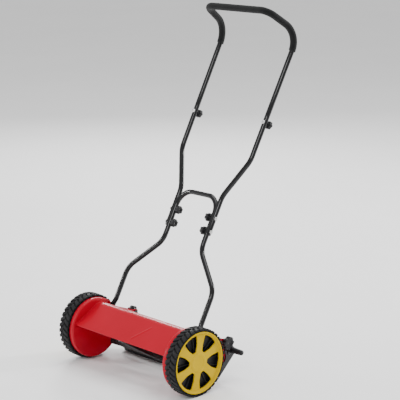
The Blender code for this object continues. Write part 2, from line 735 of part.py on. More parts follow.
def make_roller():
    bore = ROLLER_SHAFT_R + RUN
    profile = [(-ROLLER_HALF, bore), (-ROLLER_HALF, ROLLER_R - 2 * MM), (-ROLLER_HALF + 2 * MM, ROLLER_R),
               (ROLLER_HALF - 2 * MM, ROLLER_R), (ROLLER_HALF, ROLLER_R - 2 * MM), (ROLLER_HALF, bore)]
    return turned("rear_roller", profile, ROLLER, "black_plastic", 1, 24, closed=True)


def make_peg(side):
    """The grip on the bracket, held while the roller is moved up or down."""
    inner = BRACKET_OUT + GAP
    profile = [(inner, 0), (inner, PEG_R), (inner + 4 * MM, PEG_R), (inner + PEG_L - 4 * MM, PEG_R - 1.6 * MM),
               (inner + PEG_L - 1 * MM, PEG_R - 3.2 * MM), (inner + PEG_L, PEG_R - 6 * MM), (inner + PEG_L, 0)]
    at = Vector(SCREW_POINT) + Vector((SLIDE.y, -SLIDE.x)) * (7 * MM + PEG_R)
    return turned("bracket_peg_" + label(side), profile, at, "black_plastic", side, 16)


def make_height_knob(side):
    """A scalloped clamping knob, threaded on the clamp strip's upper stud."""
    face = BRACKET_OUT + GAP
    top = face + HEIGHT_KNOB_T
    bore = STUD_R + RUN
    profile = [(face, bore), (face, STUD_R + 5 * MM), (face + 3 * MM, HEIGHT_KNOB_R, True),
               (top - 2.5 * MM, HEIGHT_KNOB_R, True), (top, HEIGHT_KNOB_R - 3 * MM, True),
               (top, bore + MM), (top - 2 * MM, bore)]
    return turned("height_knob_" + label(side), profile, KNOB_POINT, "black_plastic", side, 16,
                  closed=True, lobes=8, lobe_depth=2.6 * MM)


def make_clamp_strip(side):
    """A strip inside the side plate whose two studs go through the slot: one clamps and one guides."""
    name = "clamp_strip_" + label(side)
    seat = PLATE_IN - GAP
    top = Vector(KNOB_POINT) + SLIDE * 8 * MM
    low = Vector(SCREW_POINT) - SLIDE * 8 * MM
    wide = Vector((SLIDE.y, -SLIDE.x)) * 8 * MM
    corners = [(*(top - wide), 6 * MM), (*(top + wide), 6 * MM), (*(low + wide), 6 * MM),
               (*(low - wide), 6 * MM)]
    obj = prism(name, rounded(corners, 3), seat - 3 * MM, seat, "zinc", side)
    stud_end = BRACKET_OUT + HEIGHT_KNOB_T - 3 * MM
    head = BRACKET_OUT + GAP
    stud = turned("stud_" + name, [(seat - 2 * MM, 0), (seat - 2 * MM, STUD_R), (stud_end, STUD_R),
                  (stud_end, 0)], KNOB_POINT, None, side, 16)
    guide = turned("guide_" + name, [(seat - 2 * MM, 0), (seat - 2 * MM, STUD_R), (head, STUD_R),
                   (head, 6.5 * MM), (head + 2 * MM, 6 * MM), (head + 3 * MM, 4 * MM), (head + 3 * MM, 0)],
                   SCREW_POINT, None, side, 16)
    boolean(obj, stud, "UNION")
    boolean(obj, guide, "UNION")
    return obj


# ---------------------------------------------------------------- handle

def handle_point(x, along, across=0.0):
    """A point of the handle: x from the middle plane, and a distance along it from the hinge."""
    return Vector((x, *HINGE)) + ALONG * along + ACROSS * across


def hoop_path():
    half = [handle_point(FOOT_X, HOOP_LOW), handle_point(HOOP_X, HOOP_BEND), handle_point(HOOP_X, HOOP_TOP)]
    mirror = [Vector((-p.x, p.y, p.z)) for p in half[::-1]]
    foot = handle_point(FOOT_X + 5 * MM, -FOOT_W / 2)
    flat_end = handle_point(FOOT_X + 5 * MM, FOOT_W / 2 + 2 * MM)
    round_start = handle_point(FOOT_X, FOOT_W / 2 + 26 * MM)
    start = [foot, flat_end, round_start]
    end = [Vector((-p.x, p.y, p.z)) for p in start[::-1]]
    middle = filleted([round_start] + half + mirror + [end[0]],
                      [60 * MM, 60 * MM, 50 * MM, 50 * MM, 60 * MM, 60 * MM], 3)
    return start[:2] + middle + end[1:]


def make_lower_handle():
    """One tube bent into a hoop, with its ends pressed flat for the hinge bolts."""
    path = hoop_path()
    inner = TUBE_R - TUBE_WALL
    flat = (FOOT_T / 2, FOOT_W / 2, FOOT_T / 2 - TUBE_WALL, FOOT_W / 2 - TUBE_WALL)
    sections = [flat] * 2 + [(TUBE_R, TUBE_R, inner, inner)] * (len(path) - 4) + [flat] * 2
    obj = sweep("lower_handle", path, sections, "black_paint")
    bm = bmesh.new()
    ring = [(HINGE[0] + (STUD_R + RUN) * math.cos(a), HINGE[1] + (STUD_R + RUN) * math.sin(a))
            for a in (2 * math.pi * k / 12 for k in range(12))]
    for side in (1, -1):
        prism_mesh(bm, ring, side * (FOOT_X - 5 * MM), side * (FOOT_X + 12 * MM))
    boolean(obj, finish("hinge_holes", bm))
    boolean(obj, lap_holes("hoop_holes"))
    return obj


def lap_holes(name):
    bm = bmesh.new()
    r = BOLT_R + GAP
    for side in (1, -1):
        for along in LAP_BOLTS:
            at = handle_point(0, along)
            ring = [(at.y + r * math.cos(a), at.z + r * math.sin(a))
                    for a in (2 * math.pi * k / 8 for k in range(8))]
            prism_mesh(bm, ring, side * (HOOP_X - 12 * MM), side * (MID_X + 12 * MM))
    return finish(name, bm)


def top_holes(name):
    """Bars through both telescoping joints, across the handle."""
    bm = bmesh.new()
    for side in (1, -1):
        at = handle_point(side * joint_x(TOP_BOLT), TOP_BOLT)
        ring = []
        for k in range(8):
            a = 2 * math.pi * k / 8
            ring.append((Vector((1, 0, 0)) * math.cos(a) + ALONG * math.sin(a)) * (BOLT_R + GAP))
        loft(bm, [[at + p + ACROSS * d for p in ring] for d in (-14 * MM, 14 * MM)])
    return finish(name, bm)


def joint_x(along):
    """How far the straight stretch above the mid tubes' bend is from the middle plane."""
    return GRIP_X + (UPPER_X - GRIP_X) * (along - MID_OUT) / (UPPER_BEND - MID_OUT)


def make_mid_tube(side):
    """A side tube: its lower end is dished to nest on the hoop's leg, and its top takes the upper handle."""
    name = "mid_tube_" + label(side)
    points = [handle_point(side * x, along) for x, along in (
        (MID_X, MID_START), (MID_X, MID_BEND), (GRIP_X, MID_OUT), (joint_x(SEAM), SEAM - GAP))]
    path = filleted(points, [75 * MM, 75 * MM], 4)
    obj = tube(name, path, TUBE_R, TUBE_WALL, "black_paint")
    leg = [handle_point(side * x, along) for x, along in (
        (HOOP_X, HOOP_BEND + 20 * MM), (HOOP_X, HOOP_TOP), (0.0, HOOP_TOP))]
    leg_path = filleted(leg, [50 * MM], 3)
    nest = TUBE_R + GAP
    nest_cutter = sweep("nest_" + name, leg_path, [(nest, nest)] * len(leg_path))
    boolean(obj, nest_cutter)
    boolean(obj, lap_holes("lap_" + name))
    boolean(obj, top_holes("top_" + name))
    return obj


def upper_path():
    """The upper handle's centre line, from the left seam over the crossbar to the right one."""
    half = [handle_point(joint_x(SEAM), SEAM), handle_point(UPPER_X, UPPER_BEND),
            Vector((CROSSBAR_X, *CROSSBAR))]
    return half + [Vector((-p.x, p.y, p.z)) for p in half[::-1]]


UPPER_RADII = [62 * MM, 36 * MM, 36 * MM, 62 * MM]


def make_upper_handle():
    spigot_end = handle_point(joint_x(SEAM - SPIGOT_L), SEAM - SPIGOT_L)
    path = filleted(upper_path(), UPPER_RADII, 3)
    step = path[0] - ALONG * GAP / 3
    start = [spigot_end, step]
    end = [Vector((-p.x, p.y, p.z)) for p in start[::-1]]
    small = TUBE_R - TUBE_WALL - GAP
    thin = (small, small, small - TUBE_WALL, small - TUBE_WALL)
    wide = (TUBE_R, TUBE_R, small - TUBE_WALL, small - TUBE_WALL)
    obj = sweep("upper_handle", start + path + end, [thin] * 2 + [wide] * len(path) + [thin] * 2, "black_paint")
    boolean(obj, top_holes("top_upper"))
    return obj


def make_foam_grip():
    points = upper_path()
    share = (GRIP_START - SEAM) / (UPPER_BEND - SEAM)
    points[0] = points[0].lerp(points[1], share)
    points[-1] = Vector((-points[0].x, points[0].y, points[0].z))
    path = filleted(points, UPPER_RADII, 3)
    return tube("foam_grip", path, FOAM_R, FOAM_R - TUBE_R - GAP, "foam")


def make_foot_bolt(side):
    """Hinge bolt of the handle, with a spacer collar between the flat tube end and the side plate."""
    foot_in = FOOT_X + 5 * MM - FOOT_T / 2 - GAP
    foot_out = FOOT_X + 5 * MM + FOOT_T / 2 + GAP
    profile = [(foot_in - 4 * MM, 0), (foot_in - 4 * MM, 5 * MM), (foot_in - 3 * MM, 7.5 * MM),
               (foot_in, 7.5 * MM), (foot_in, STUD_R), (foot_out, STUD_R), (foot_out, 9 * MM),
               (PLATE_IN - GAP, 9 * MM), (PLATE_IN - GAP, STUD_R), (PLATE_OUT + GAP, STUD_R),
               (PLATE_OUT + GAP, 7.5 * MM), (PLATE_OUT + 5 * MM, 7.5 * MM), (PLATE_OUT + 5 * MM, 0)]
    return turned("foot_bolt_" + label(side), profile, HINGE, "zinc", side, 12)


def bolt_and_knob(name, at, rotation, near, far):
    """A dome-head bolt along +X of its own frame, and the clamping knob on its end.

    The tubes lie between near, under the head, and far, under the knob, both measured from at.
    """
    bm = bmesh.new()
    head = near - GAP
    seat = far + GAP
    turned_mesh(bm, [(head - 3.2 * MM, 0), (head - 3.2 * MM, 2.4 * MM), (head - 1.6 * MM, 5.4 * MM),
                     (head, 6.2 * MM), (head, BOLT_R), (seat + KNOB_L - 5 * MM, BOLT_R),
                     (seat + KNOB_L - 5 * MM, 0)], 12)
    bolt = finish("bolt_" + name, bm, "zinc")
    bm = bmesh.new()
    bore = BOLT_R + RUN
    end = seat + KNOB_L
    turned_mesh(bm, [(seat, bore), (seat, 6.5 * MM), (seat + 3 * MM, 6.5 * MM), (seat + 5 * MM, KNOB_R, True),
                     (end - 2 * MM, KNOB_R, True), (end, KNOB_R - 2 * MM, True), (end, bore + MM),
                     (end - 2 * MM, bore)], 12, lobes=6, lobe_depth=1.5 * MM, closed=True)
    knob = finish("knob_" + name, bm, "black_plastic")
    for obj in (bolt, knob):
        obj.location = at
        obj.rotation_euler = rotation.to_euler()
    return bolt, knob


def make_handle_fasteners():
    """Two side bolts through each lap, heads outside, and one bolt through each telescoping joint."""
    bolts, knobs = [], []
    for side in (1, -1):
        inward = Matrix.Rotation(math.pi if side > 0 else 0.0, 3, "Z")
        for row, along in zip(("lower", "upper"), LAP_BOLTS):
            at = handle_point(side * HOOP_X, along)
            bolt, knob = bolt_and_knob(f"{row}_{label(side)}", at, inward,
                                       -(MID_X + TUBE_R - HOOP_X), TUBE_R)
            bolts.append(bolt)
            knobs.append(knob)
        back = Matrix((ACROSS, Vector((1, 0, 0)), ACROSS.cross(Vector((1, 0, 0))))).transposed()
        at = handle_point(side * joint_x(TOP_BOLT), TOP_BOLT)
        bolt, knob = bolt_and_knob(f"top_{label(side)}", at, back, -TUBE_R, TUBE_R)
        bolts.append(bolt)
        knobs.append(knob)
    return bolts, knobs


# ---------------------------------------------------------------- assembly

def build():
    clear_scene()
    make_deck_cover()
    make_tie_rod("front_tie_rod", FRONT_ROD)
    make_tie_rod("rear_tie_rod", REAR_ROD)
    reel = [make_reel_shaft()]
    reel += [make_spider(i) for i in range(SPIDERS)]
    reel += [make_blade(i) for i in range(BLADES)]
    on_axis("reel_axis", (0, *REEL), reel)
    on_axis("bed_axis", (0, *BED_PIVOT), [make_bed_bar(), make_bed_knife()])
    carriage = [make_roller_shaft()]
    for side in (1, -1):
        make_side_plate(side)
        make_stub_axle(side)
        make_axle_nut(side)
        make_reel_bearing(side)
        make_foot_bolt(side)
        wheel = [make_wheel_core(side), make_tyre(side), make_wheel_cover(side)]
        on_axis("wheel_axis_" + label(side), (side * WHEEL_IN, *AXLE), wheel)
        on_axis("pinion_axis_" + label(side), (side * GEAR_IN, *REEL), [make_pinion(side)])
        knob_axis = on_axis("height_knob_axis_" + label(side), (side * BRACKET_OUT, *KNOB_POINT),
                            [make_height_knob(side)])
        carriage += [make_roller_bracket(side), make_clamp_strip(side), make_peg(side), knob_axis]
    carriage.append(on_axis("roller_axis", (0, *ROLLER), [make_roller()]))
    on_axis("carriage_slide", (0, *ROLLER), carriage)
    bolts, knobs = make_handle_fasteners()
    handle = [make_lower_handle(), make_mid_tube(1), make_mid_tube(-1), make_upper_handle(), make_foam_grip()]
    on_axis("handle_hinge", (0, *HINGE), handle + bolts + knobs)
    for obj in bpy.context.scene.collection.objects:
        if not obj.parent:
            obj.location.y -= MIDDLE_Y


build()
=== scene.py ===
"""The push reel mower as it looks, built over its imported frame."""

import math

import bmesh
import bpy
from mathutils import Matrix, Vector


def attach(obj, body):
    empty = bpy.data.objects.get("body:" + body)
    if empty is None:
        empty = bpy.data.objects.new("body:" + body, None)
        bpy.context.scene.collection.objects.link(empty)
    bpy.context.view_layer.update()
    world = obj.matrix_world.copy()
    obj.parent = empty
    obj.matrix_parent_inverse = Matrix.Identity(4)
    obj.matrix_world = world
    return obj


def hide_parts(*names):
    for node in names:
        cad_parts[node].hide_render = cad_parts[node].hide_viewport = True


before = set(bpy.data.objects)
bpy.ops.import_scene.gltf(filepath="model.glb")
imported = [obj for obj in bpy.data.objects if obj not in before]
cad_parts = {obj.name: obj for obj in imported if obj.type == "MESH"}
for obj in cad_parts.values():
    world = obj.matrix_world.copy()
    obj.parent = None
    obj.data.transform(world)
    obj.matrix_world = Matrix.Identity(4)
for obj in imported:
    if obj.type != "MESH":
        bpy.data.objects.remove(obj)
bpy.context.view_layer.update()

MM = 0.001
GAP = 0.3 * MM
MIDDLE_Y = 202.2 * MM

WHEEL_R, WHEEL_OUT, TYRE_W, TYRE_FLOOR_R = 101.0 * MM, 261.0 * MM, 40.5 * MM, 97.4 * MM
RIM_R, COVER_T, COVER_DISH, COVER_RIM_W = 92.0 * MM, 3.0 * MM, 6.0 * MM, 4.2 * MM
COVER_BOSS_R, COVER_BOSS_H = 27.0 * MM, 1.5 * MM
LUGS, WINDOWS = 36, 6
PLATE_IN, PLATE_T = 201.5 * MM, 2.5 * MM
DRUM_R, DRUM_DEPTH, DRUM_BEND_R = 93.5 * MM, 16.5 * MM, 5.0 * MM
REEL_R, REEL_HALF, BLADE_H, BLADE_T, BLADES = 48.0 * MM, 190.0 * MM, 16.0 * MM, 3.0 * MM, 5
BLADE_TWIST = math.radians(68.0)
REEL_ANGLE = math.radians(-12.0)
SHEET_T = 2.0 * MM
DECK_FRONT = (-82.0 * MM, 127.6 * MM)
DECK_SLOPE, DECK_PANEL, DECK_CREST_R = math.radians(30.2), 96.0 * MM, 31.0 * MM
DECK_REAR_SLOPE, DECK_HEM = math.radians(-38.0), 7.0 * MM
ROLLER_R, ROLLER_HALF, ROLLER_Y = 16.0 * MM, 196.0 * MM, 119.0 * MM
BRACKET_T, STUD_R = 4.0 * MM, 4.0 * MM
KNOB_POINT, SCREW_POINT = Vector((159.0 * MM, 114.0 * MM)), Vector((168.5 * MM, 80.0 * MM))
TRAVEL_UP, TRAVEL_DOWN = 3.0 * MM, 13.0 * MM
PEG_R, PEG_L, HEIGHT_KNOB_R, HEIGHT_KNOB_T = 10.0 * MM, 42.0 * MM, 21.0 * MM, 14.0 * MM
TUBE_R = 8.0 * MM
HINGE = Vector((56.0 * MM, 152.0 * MM))
HANDLE_ANGLE = math.radians(61.6)
FOOT_X, FOOT_W, FOOT_T = 190.4 * MM, 22.0 * MM, 6.0 * MM
HOOP_X, HOOP_LOW, HOOP_BEND, HOOP_TOP = 84.0 * MM, 139.0 * MM, 247.0 * MM, 416.0 * MM
MID_X, MID_START, MID_BEND, MID_OUT = 90.0 * MM, 296.0 * MM, 421.0 * MM, 545.0 * MM
GRIP_X, SEAM, UPPER_X, UPPER_BEND = 150.0 * MM, 690.0 * MM, 155.0 * MM, 962.0 * MM
GRIP_START, CROSSBAR_X, CROSSBAR = 905.0 * MM, 131.0 * MM, (403.0 * MM, 1072.0 * MM)
FOAM_R = 11.5 * MM
LAP_BOLTS, TOP_BOLT = (308.0 * MM, 351.0 * MM), 669.0 * MM
BOLT_R, KNOB_R, KNOB_L = 3.0 * MM, 13.0 * MM, 16.5 * MM

# The wheel's ring gear, the gap behind it and the web.
GEAR_INSET, GEAR_W, WEB_GAP, WEB_T, RIBS = 1.5 * MM, 12.0 * MM, 3.0 * MM, 3.0 * MM, 18
# A cover window's radii from its inner tip to the rim, its half width and the first one's place.
WINDOW_TIP, WINDOW_BOW, WINDOW_RIM = 34.5 * MM, 56.0 * MM, 82.0 * MM
WINDOW_HALF, WINDOW_TURN = math.radians(18.0), math.radians(-8.0)
# Holes in the side plates and brackets.
AXLE_HOLE_R, BEARING_HOLE_R, ROD_HOLE_R, BED_PIN_HOLE_R = 7.8 * MM, 14.3 * MM, 3.8 * MM, 6.1 * MM
ROLLER_SHAFT_HOLE_R, STUD_HOLE_R = 3.8 * MM, 4.3 * MM
# The deck's mesh, and its pressed rib as places on the panel.
PANEL_STEPS, DECK_ROWS = 48, 240
SWAGE_START, SWAGE_END = Vector((38.0 * MM, 20.0 * MM)), Vector((72.0 * MM, 76.0 * MM))
SWAGE_H, SWAGE_W = 1.3 * MM, 2.4 * MM
BLADE_STEPS, SPIDERS, SPIDER_PITCH = 80, 3, 150.0 * MM
ROLLER_BORE_R, ROLLER_GROOVES = 5.06 * MM, 9

# Camera and lights. Each light is a name, a place, a size, a power in watts and the point that it faces.
CAMERA_AT = Vector((3.0216, -2.6397 - MIDDLE_Y, 1.4374))
CAMERA_TARGET = Vector((0.0, 0.2503 - MIDDLE_Y, 0.4986))
LENS, SENSOR, FLOOR_HALF, WORLD_STRENGTH = 126.4, 36.0, 14.0, 0.86
LIGHTS = (
    ("roof", (0.0, 1.2, 4.6), (4.0, 4.0), 170.0, (0, 0.6, 0.0)),
    ("key", (2.2, -3.4, 3.2), (1.2, 1.2), 60.0, (0, 0, 0.3)),
    ("crest", (-3.0, 2.4, 1.95), (1.2, 0.8), 55.0, (0, 0, 0.15)),
    ("strip_left", (-2.6, -3.1, 1.5), (0.16, 1.4), 60.0, (0, 0, 0.7)),
    ("strip_right", (1.6, 3.4, 2.0), (0.16, 2.0), 110.0, (0, 0, 0.7)))

AXLE = Vector((0.0, WHEEL_R))
REEL = AXLE + 60.0 * MM * Vector((math.cos(REEL_ANGLE), math.sin(REEL_ANGLE)))
PLATE_OUT = PLATE_IN + PLATE_T
WHEEL_IN = WHEEL_OUT - TYRE_W
COVER_IN = WHEEL_OUT - COVER_DISH - COVER_T
RIM_OUT = COVER_IN - 2.4 * MM
WEB_OUT = WHEEL_IN + GEAR_INSET + GEAR_W + WEB_GAP + WEB_T
BRACKET_IN = PLATE_OUT + GAP
BRACKET_OUT = BRACKET_IN + BRACKET_T
ROLLER = Vector((ROLLER_Y, ROLLER_R))
SLIDE = (KNOB_POINT - SCREW_POINT).normalized()
SLOT_TOP = KNOB_POINT + SLIDE * TRAVEL_UP
SLOT_LOW = SCREW_POINT - SLIDE * TRAVEL_DOWN
ACROSS_SLOT = Vector((SLIDE.y, -SLIDE.x))
BED_PIVOT = REEL + Vector((39.3 * MM, -16.5 * MM))
FRONT_ROD = Vector(DECK_FRONT) + Vector((14.0 * MM, -1.2 * MM))
REAR_ROD = Vector((120.0 * MM, 118.0 * MM))
ALONG = Vector((0.0, math.cos(HANDLE_ANGLE), math.sin(HANDLE_ANGLE)))
ACROSS = Vector((0.0, math.sin(HANDLE_ANGLE), -math.cos(HANDLE_ANGLE)))


# ---------------------------------------------------------------- materials

class Nodes:
    """Short names for building a shader."""

    def __init__(self, name):
        self.mat = bpy.data.materials.new(name)
        self.mat.use_nodes = True
        self.tree = self.mat.node_tree
        self.shader = self.tree.nodes["Principled BSDF"]
        self.coords = self.tree.nodes.new("ShaderNodeTexCoord").outputs["Object"]
        self.bumps = None

    def set(self, **values):
        for key, value in values.items():
            self.shader.inputs[key.replace("_", " ")].default_value = value

    def link(self, a, b):
        self.tree.links.new(a, b)

    def noise(self, scale, detail=4.0, rough=0.55, stretch=None):
        node = self.tree.nodes.new("ShaderNodeTexNoise")
        node.inputs["Scale"].default_value = scale
        node.inputs["Detail"].default_value = detail
        node.inputs["Roughness"].default_value = rough
        self.link(self.mapped(stretch), node.inputs["Vector"])
        return node.outputs["Fac"]

    def mapped(self, stretch):
        if not stretch:
            return self.coords
        node = self.tree.nodes.new("ShaderNodeMapping")
        node.inputs["Scale"].default_value = stretch
        self.link(self.coords, node.inputs["Vector"])
        return node.outputs["Vector"]

    def cells(self, scale):
        node = self.tree.nodes.new("ShaderNodeTexVoronoi")
        node.inputs["Scale"].default_value = scale
        self.link(self.coords, node.inputs["Vector"])
        return node.outputs["Distance"]

    def ramp(self, fac, low, high, at=(0.35, 0.65)):
        node = self.tree.nodes.new("ShaderNodeValToRGB")
        for stop, place, colour in zip(node.color_ramp.elements, at, (low, high)):
            stop.position = place
            stop.color = (*colour, 1.0) if isinstance(colour, tuple) else (colour, colour, colour, 1.0)
        self.link(fac, node.inputs["Fac"])
        return node.outputs["Color"]

    def mix(self, fac, one, two):
        node = self.tree.nodes.new("ShaderNodeMix")
        node.data_type = "RGBA"
        for socket, value in ((node.inputs["Factor"], fac), (node.inputs["A"], one), (node.inputs["B"], two)):
            if isinstance(value, (int, float)):
                socket.default_value = value
            elif isinstance(value, tuple):
                socket.default_value = (*value, 1.0)
            else:
                self.link(value, socket)
        return node.outputs["Result"]

    def edge_wear_and_highlight(self, low=0.53, high=0.60):
        """White on outer edges, from the bend between neighbouring faces: worn edges on the black finishes, a
        painted edge highlight on the red paint.
        """
        geometry = self.tree.nodes.new("ShaderNodeNewGeometry")
        return self.ramp(geometry.outputs["Pointiness"], 0.0, 1.0, (low, high))

    def times(self, one, two):
        node = self.tree.nodes.new("ShaderNodeMath")
        node.operation = "MULTIPLY"
        for socket, value in zip(node.inputs, (one, two)):
            if isinstance(value, float):
                socket.default_value = value
            else:
                self.link(value, socket)
        return node.outputs["Value"]

    def bump(self, height, distance, strength=1.0):
        node = self.tree.nodes.new("ShaderNodeBump")
        node.inputs["Distance"].default_value = distance
        node.inputs["Strength"].default_value = strength
        self.link(height, node.inputs["Height"])
        if self.bumps:
            self.link(self.bumps, node.inputs["Normal"])
        self.bumps = node.outputs["Normal"]
        self.link(self.bumps, self.shader.inputs["Normal"])

    def colour(self, socket):
        self.link(socket, self.shader.inputs["Base Color"])

    def rough(self, socket):
        self.link(socket, self.shader.inputs["Roughness"])


def red_paint():
    """Powder-coated sheet: a deep red, slightly uneven coat with a glossy skin, faint dust and a painted
    highlight of lighter red along its outer edges.
    """
    n = Nodes("red_paint")
    n.set(Coat_Weight=0.16, Coat_Roughness=0.05, Coat_IOR=1.45, IOR=1.45, Specular_IOR_Level=0.10)
    body = n.ramp(n.noise(7.0, 3.0), (0.365, 0.0, 0.012), (0.395, 0.0, 0.014))
    dust = n.ramp(n.noise(160.0, 6.0, 0.7), 0.0, 0.02, (0.56, 0.80))
    # Outer edges are mixed towards a lighter red: a painted highlight along the edges.
    edges = n.times(n.edge_wear_and_highlight(0.54, 0.62), 0.12)
    dusty = n.mix(dust, body, (0.45, 0.11, 0.11))
    n.colour(n.mix(edges, dusty, (0.62, 0.03, 0.05)))
    n.rough(n.ramp(n.noise(54.0, 5.0), 0.30, 0.36))
    n.bump(n.noise(420.0, 2.0), 0.00006, 0.5)
    n.bump(n.noise(60.0, 2.0), 0.0002, 0.10)
    return n.mat


def yellow_plastic():
    """Injection-moulded wheel cover, with a fine spark texture and flow marks."""
    n = Nodes("yellow_plastic")
    n.set(Specular_IOR_Level=0.06, IOR=1.45)
    tone = n.ramp(n.noise(14.0, 3.0), (0.50, 0.333, 0.0), (0.54, 0.358, 0.0))
    dirt = n.ramp(n.noise(48.0, 7.0, 0.7), 0.0, 0.22, (0.60, 0.82))
    n.colour(n.mix(dirt, tone, (0.38, 0.245, 0.0)))
    n.rough(n.ramp(n.noise(90.0, 4.0), 0.34, 0.50))
    n.bump(n.noise(900.0, 2.0), 0.00004, 0.8)
    return n.mat


def black_plastic():
    n = Nodes("black_plastic")
    n.set(IOR=1.45, Specular_IOR_Level=0.35)
    edges = n.times(n.edge_wear_and_highlight(), 0.5)
    body = n.ramp(n.noise(30.0), (0.004, 0.004, 0.005), (0.010, 0.010, 0.012))
    n.colour(n.mix(edges, body, (0.035, 0.035, 0.037)))
    n.rough(n.ramp(n.noise(110.0, 5.0), 0.38, 0.58))
    n.bump(n.noise(1100.0, 2.0), 0.00005, 0.9)
    return n.mat


def tyre_rubber():
    n = Nodes("tyre_rubber")
    n.set(IOR=1.45, Specular_IOR_Level=0.16, Sheen_Weight=0.02, Sheen_Roughness=0.5)
    dust = n.ramp(n.noise(38.0, 8.0, 0.72), 0.0, 0.4, (0.52, 0.78))
    base = n.ramp(n.noise(20.0), (0.003, 0.003, 0.0034), (0.006, 0.006, 0.0064))
    n.colour(n.mix(dust, n.mix(n.times(n.edge_wear_and_highlight(), 0.6), base, (0.030, 0.030, 0.032)), (0.026, 0.024, 0.021)))
    n.rough(n.ramp(n.noise(70.0, 6.0), 0.50, 0.78))
    n.bump(n.noise(650.0, 4.0), 0.00012, 0.7)
    return n.mat


def black_paint():
    """Glossy stove enamel on steel tube, with a slight orange peel and worn edges."""
    n = Nodes("black_paint")
    n.set(Coat_Weight=0.8, Coat_Roughness=0.04, Coat_IOR=1.45, IOR=1.45, Specular_IOR_Level=0.05)
    edges = n.times(n.edge_wear_and_highlight(0.56, 0.64), 0.4)
    body = n.ramp(n.noise(16.0), (0.002, 0.002, 0.0025), (0.005, 0.005, 0.006))
    n.colour(n.mix(edges, body, (0.06, 0.06, 0.063)))
    n.rough(n.ramp(n.noise(52.0, 5.0), 0.14, 0.30))
    n.bump(n.noise(480.0, 2.0), 0.00005, 0.5)
    return n.mat


def foam():
    """Closed-cell foam sleeve: a fine open skin, slightly dusty."""
    n = Nodes("foam")
    n.set(IOR=1.35, Specular_IOR_Level=0.2, Sheen_Weight=0.08, Sheen_Roughness=0.6)
    cells = n.cells(1500.0)
    n.colour(n.mix(n.ramp(cells, 0.0, 0.6, (0.10, 0.60)), (0.003, 0.003, 0.0035), (0.012, 0.0125, 0.013)))
    n.rough(n.ramp(n.noise(60.0, 5.0), 0.78, 0.95))
    n.bump(cells, 0.00018, 0.8)
    n.bump(n.noise(140.0, 4.0), 0.0003, 0.35)
    return n.mat


def zinc():
    n = Nodes("zinc")
    n.set(Metallic=1.0)
    n.colour(n.ramp(n.noise(120.0, 6.0), (0.50, 0.50, 0.50), (0.72, 0.72, 0.71)))
    n.rough(n.ramp(n.noise(260.0, 5.0), 0.22, 0.42))
    n.bump(n.noise(700.0, 3.0), 0.00003, 0.6)
    return n.mat


def blade_steel():
    """Hardened strip, dark from the furnace, with grinding marks along it and a little discolouring."""
    n = Nodes("blade_steel")
    n.set(Metallic=1.0, Anisotropic=0.3)
    grain = n.noise(900.0, 3.0, 0.6, (0.04, 1.0, 1.0))
    stain = n.ramp(n.noise(26.0, 7.0, 0.7), 0.0, 0.8, (0.55, 0.75))
    n.colour(n.mix(stain, n.ramp(grain, (0.035, 0.035, 0.037), (0.085, 0.085, 0.088)), (0.030, 0.022, 0.018)))
    n.rough(n.ramp(grain, 0.24, 0.46))
    n.bump(grain, 0.00004, 0.7)
    return n.mat


def cast_iron():
    """Sand-cast surface under black paint, worn along its edges."""
    n = Nodes("cast_iron")
    n.set(Metallic=0.3)
    edges = n.times(n.edge_wear_and_highlight(), 0.8)
    body = n.ramp(n.noise(40.0, 6.0), (0.006, 0.006, 0.0065), (0.015, 0.014, 0.014))
    n.colour(n.mix(edges, body, (0.09, 0.085, 0.08)))
    n.rough(n.ramp(n.noise(80.0, 5.0), 0.45, 0.72))
    n.bump(n.noise(260.0, 6.0, 0.7), 0.0004, 0.5)
    return n.mat


def floor_paint():
    n = Nodes("floor")
    n.colour(n.ramp(n.noise(1.3, 2.0), (0.93, 0.93, 0.932), (0.95, 0.95, 0.95)))
    n.rough(n.ramp(n.noise(6.0, 3.0), 0.55, 0.62))
    n.bump(n.noise(300.0, 3.0), 0.0001, 0.1)
    return n.mat


LOOKS = {make.__name__: make() for make in (
    red_paint, yellow_plastic, black_plastic, tyre_rubber, black_paint, foam, zinc, blade_steel, cast_iron)}


# ---------------------------------------------------------------- tools

def finish_mesh(name, bm, smooth=40):
    bmesh.ops.recalc_face_normals(bm, faces=bm.faces)
    mesh = bpy.data.meshes.new(name)
    bm.to_mesh(mesh)
    bm.free()
    mesh.shade_smooth()
    mesh.set_sharp_from_angle(angle=math.radians(smooth))
    obj = bpy.data.objects.new(name, mesh)
    bpy.context.scene.collection.objects.link(obj)
    return obj


def place(obj, look, body, *stands_for):
    """Moves a piece, made with y measured from the axle, into the frame; sets its finish and body."""
    obj.location.y -= MIDDLE_Y
    obj.data.materials.clear()
    obj.data.materials.append(LOOKS[look])
    if stands_for:
        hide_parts(*stands_for)
    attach(obj, body)
    return obj


def bevel(obj, width, segments=2, angle=32):
    modifier = obj.modifiers.new("edge", "BEVEL")
    modifier.width = width
    modifier.segments = segments
    modifier.limit_method = "ANGLE"
    modifier.angle_limit = math.radians(angle)
    modifier.harden_normals = True
    modifier.miter_outer = "MITER_ARC"
    return obj


def cut(obj, cutter, operation="DIFFERENCE"):
    """Applies a Boolean and takes the cutter away again."""
    modifier = obj.modifiers.new("cut", "BOOLEAN")
    modifier.operation = operation
    modifier.object = cutter
    modifier.solver = "EXACT"
    bpy.context.view_layer.update()
    graph = bpy.context.evaluated_depsgraph_get()
    mesh = bpy.data.meshes.new_from_object(obj.evaluated_get(graph))
    obj.modifiers.remove(modifier)
    old = obj.data
    obj.data = mesh
    bpy.data.meshes.remove(old)
    bpy.data.objects.remove(cutter)
    mesh.shade_smooth()
    mesh.set_sharp_from_angle(angle=math.radians(40))
    return obj


def loft(bm, rings, close_path=False, caps=True):
    made = [[bm.verts.new(point) for point in ring] for ring in rings]
    pairs = list(zip(made, made[1:]))
    if close_path:
        pairs.append((made[-1], made[0]))
    for one, two in pairs:
        count = max(len(one), len(two))
        for i in range(count):
            j = (i + 1) % count
            corners = [one[i % len(one)], one[j % len(one)], two[j % len(two)], two[i % len(two)]]
            bm.faces.new(list(dict.fromkeys(corners)))
    if caps and not close_path:
        for ring in (made[0], made[-1]):
            if len(ring) > 2:
                bm.faces.new(ring)


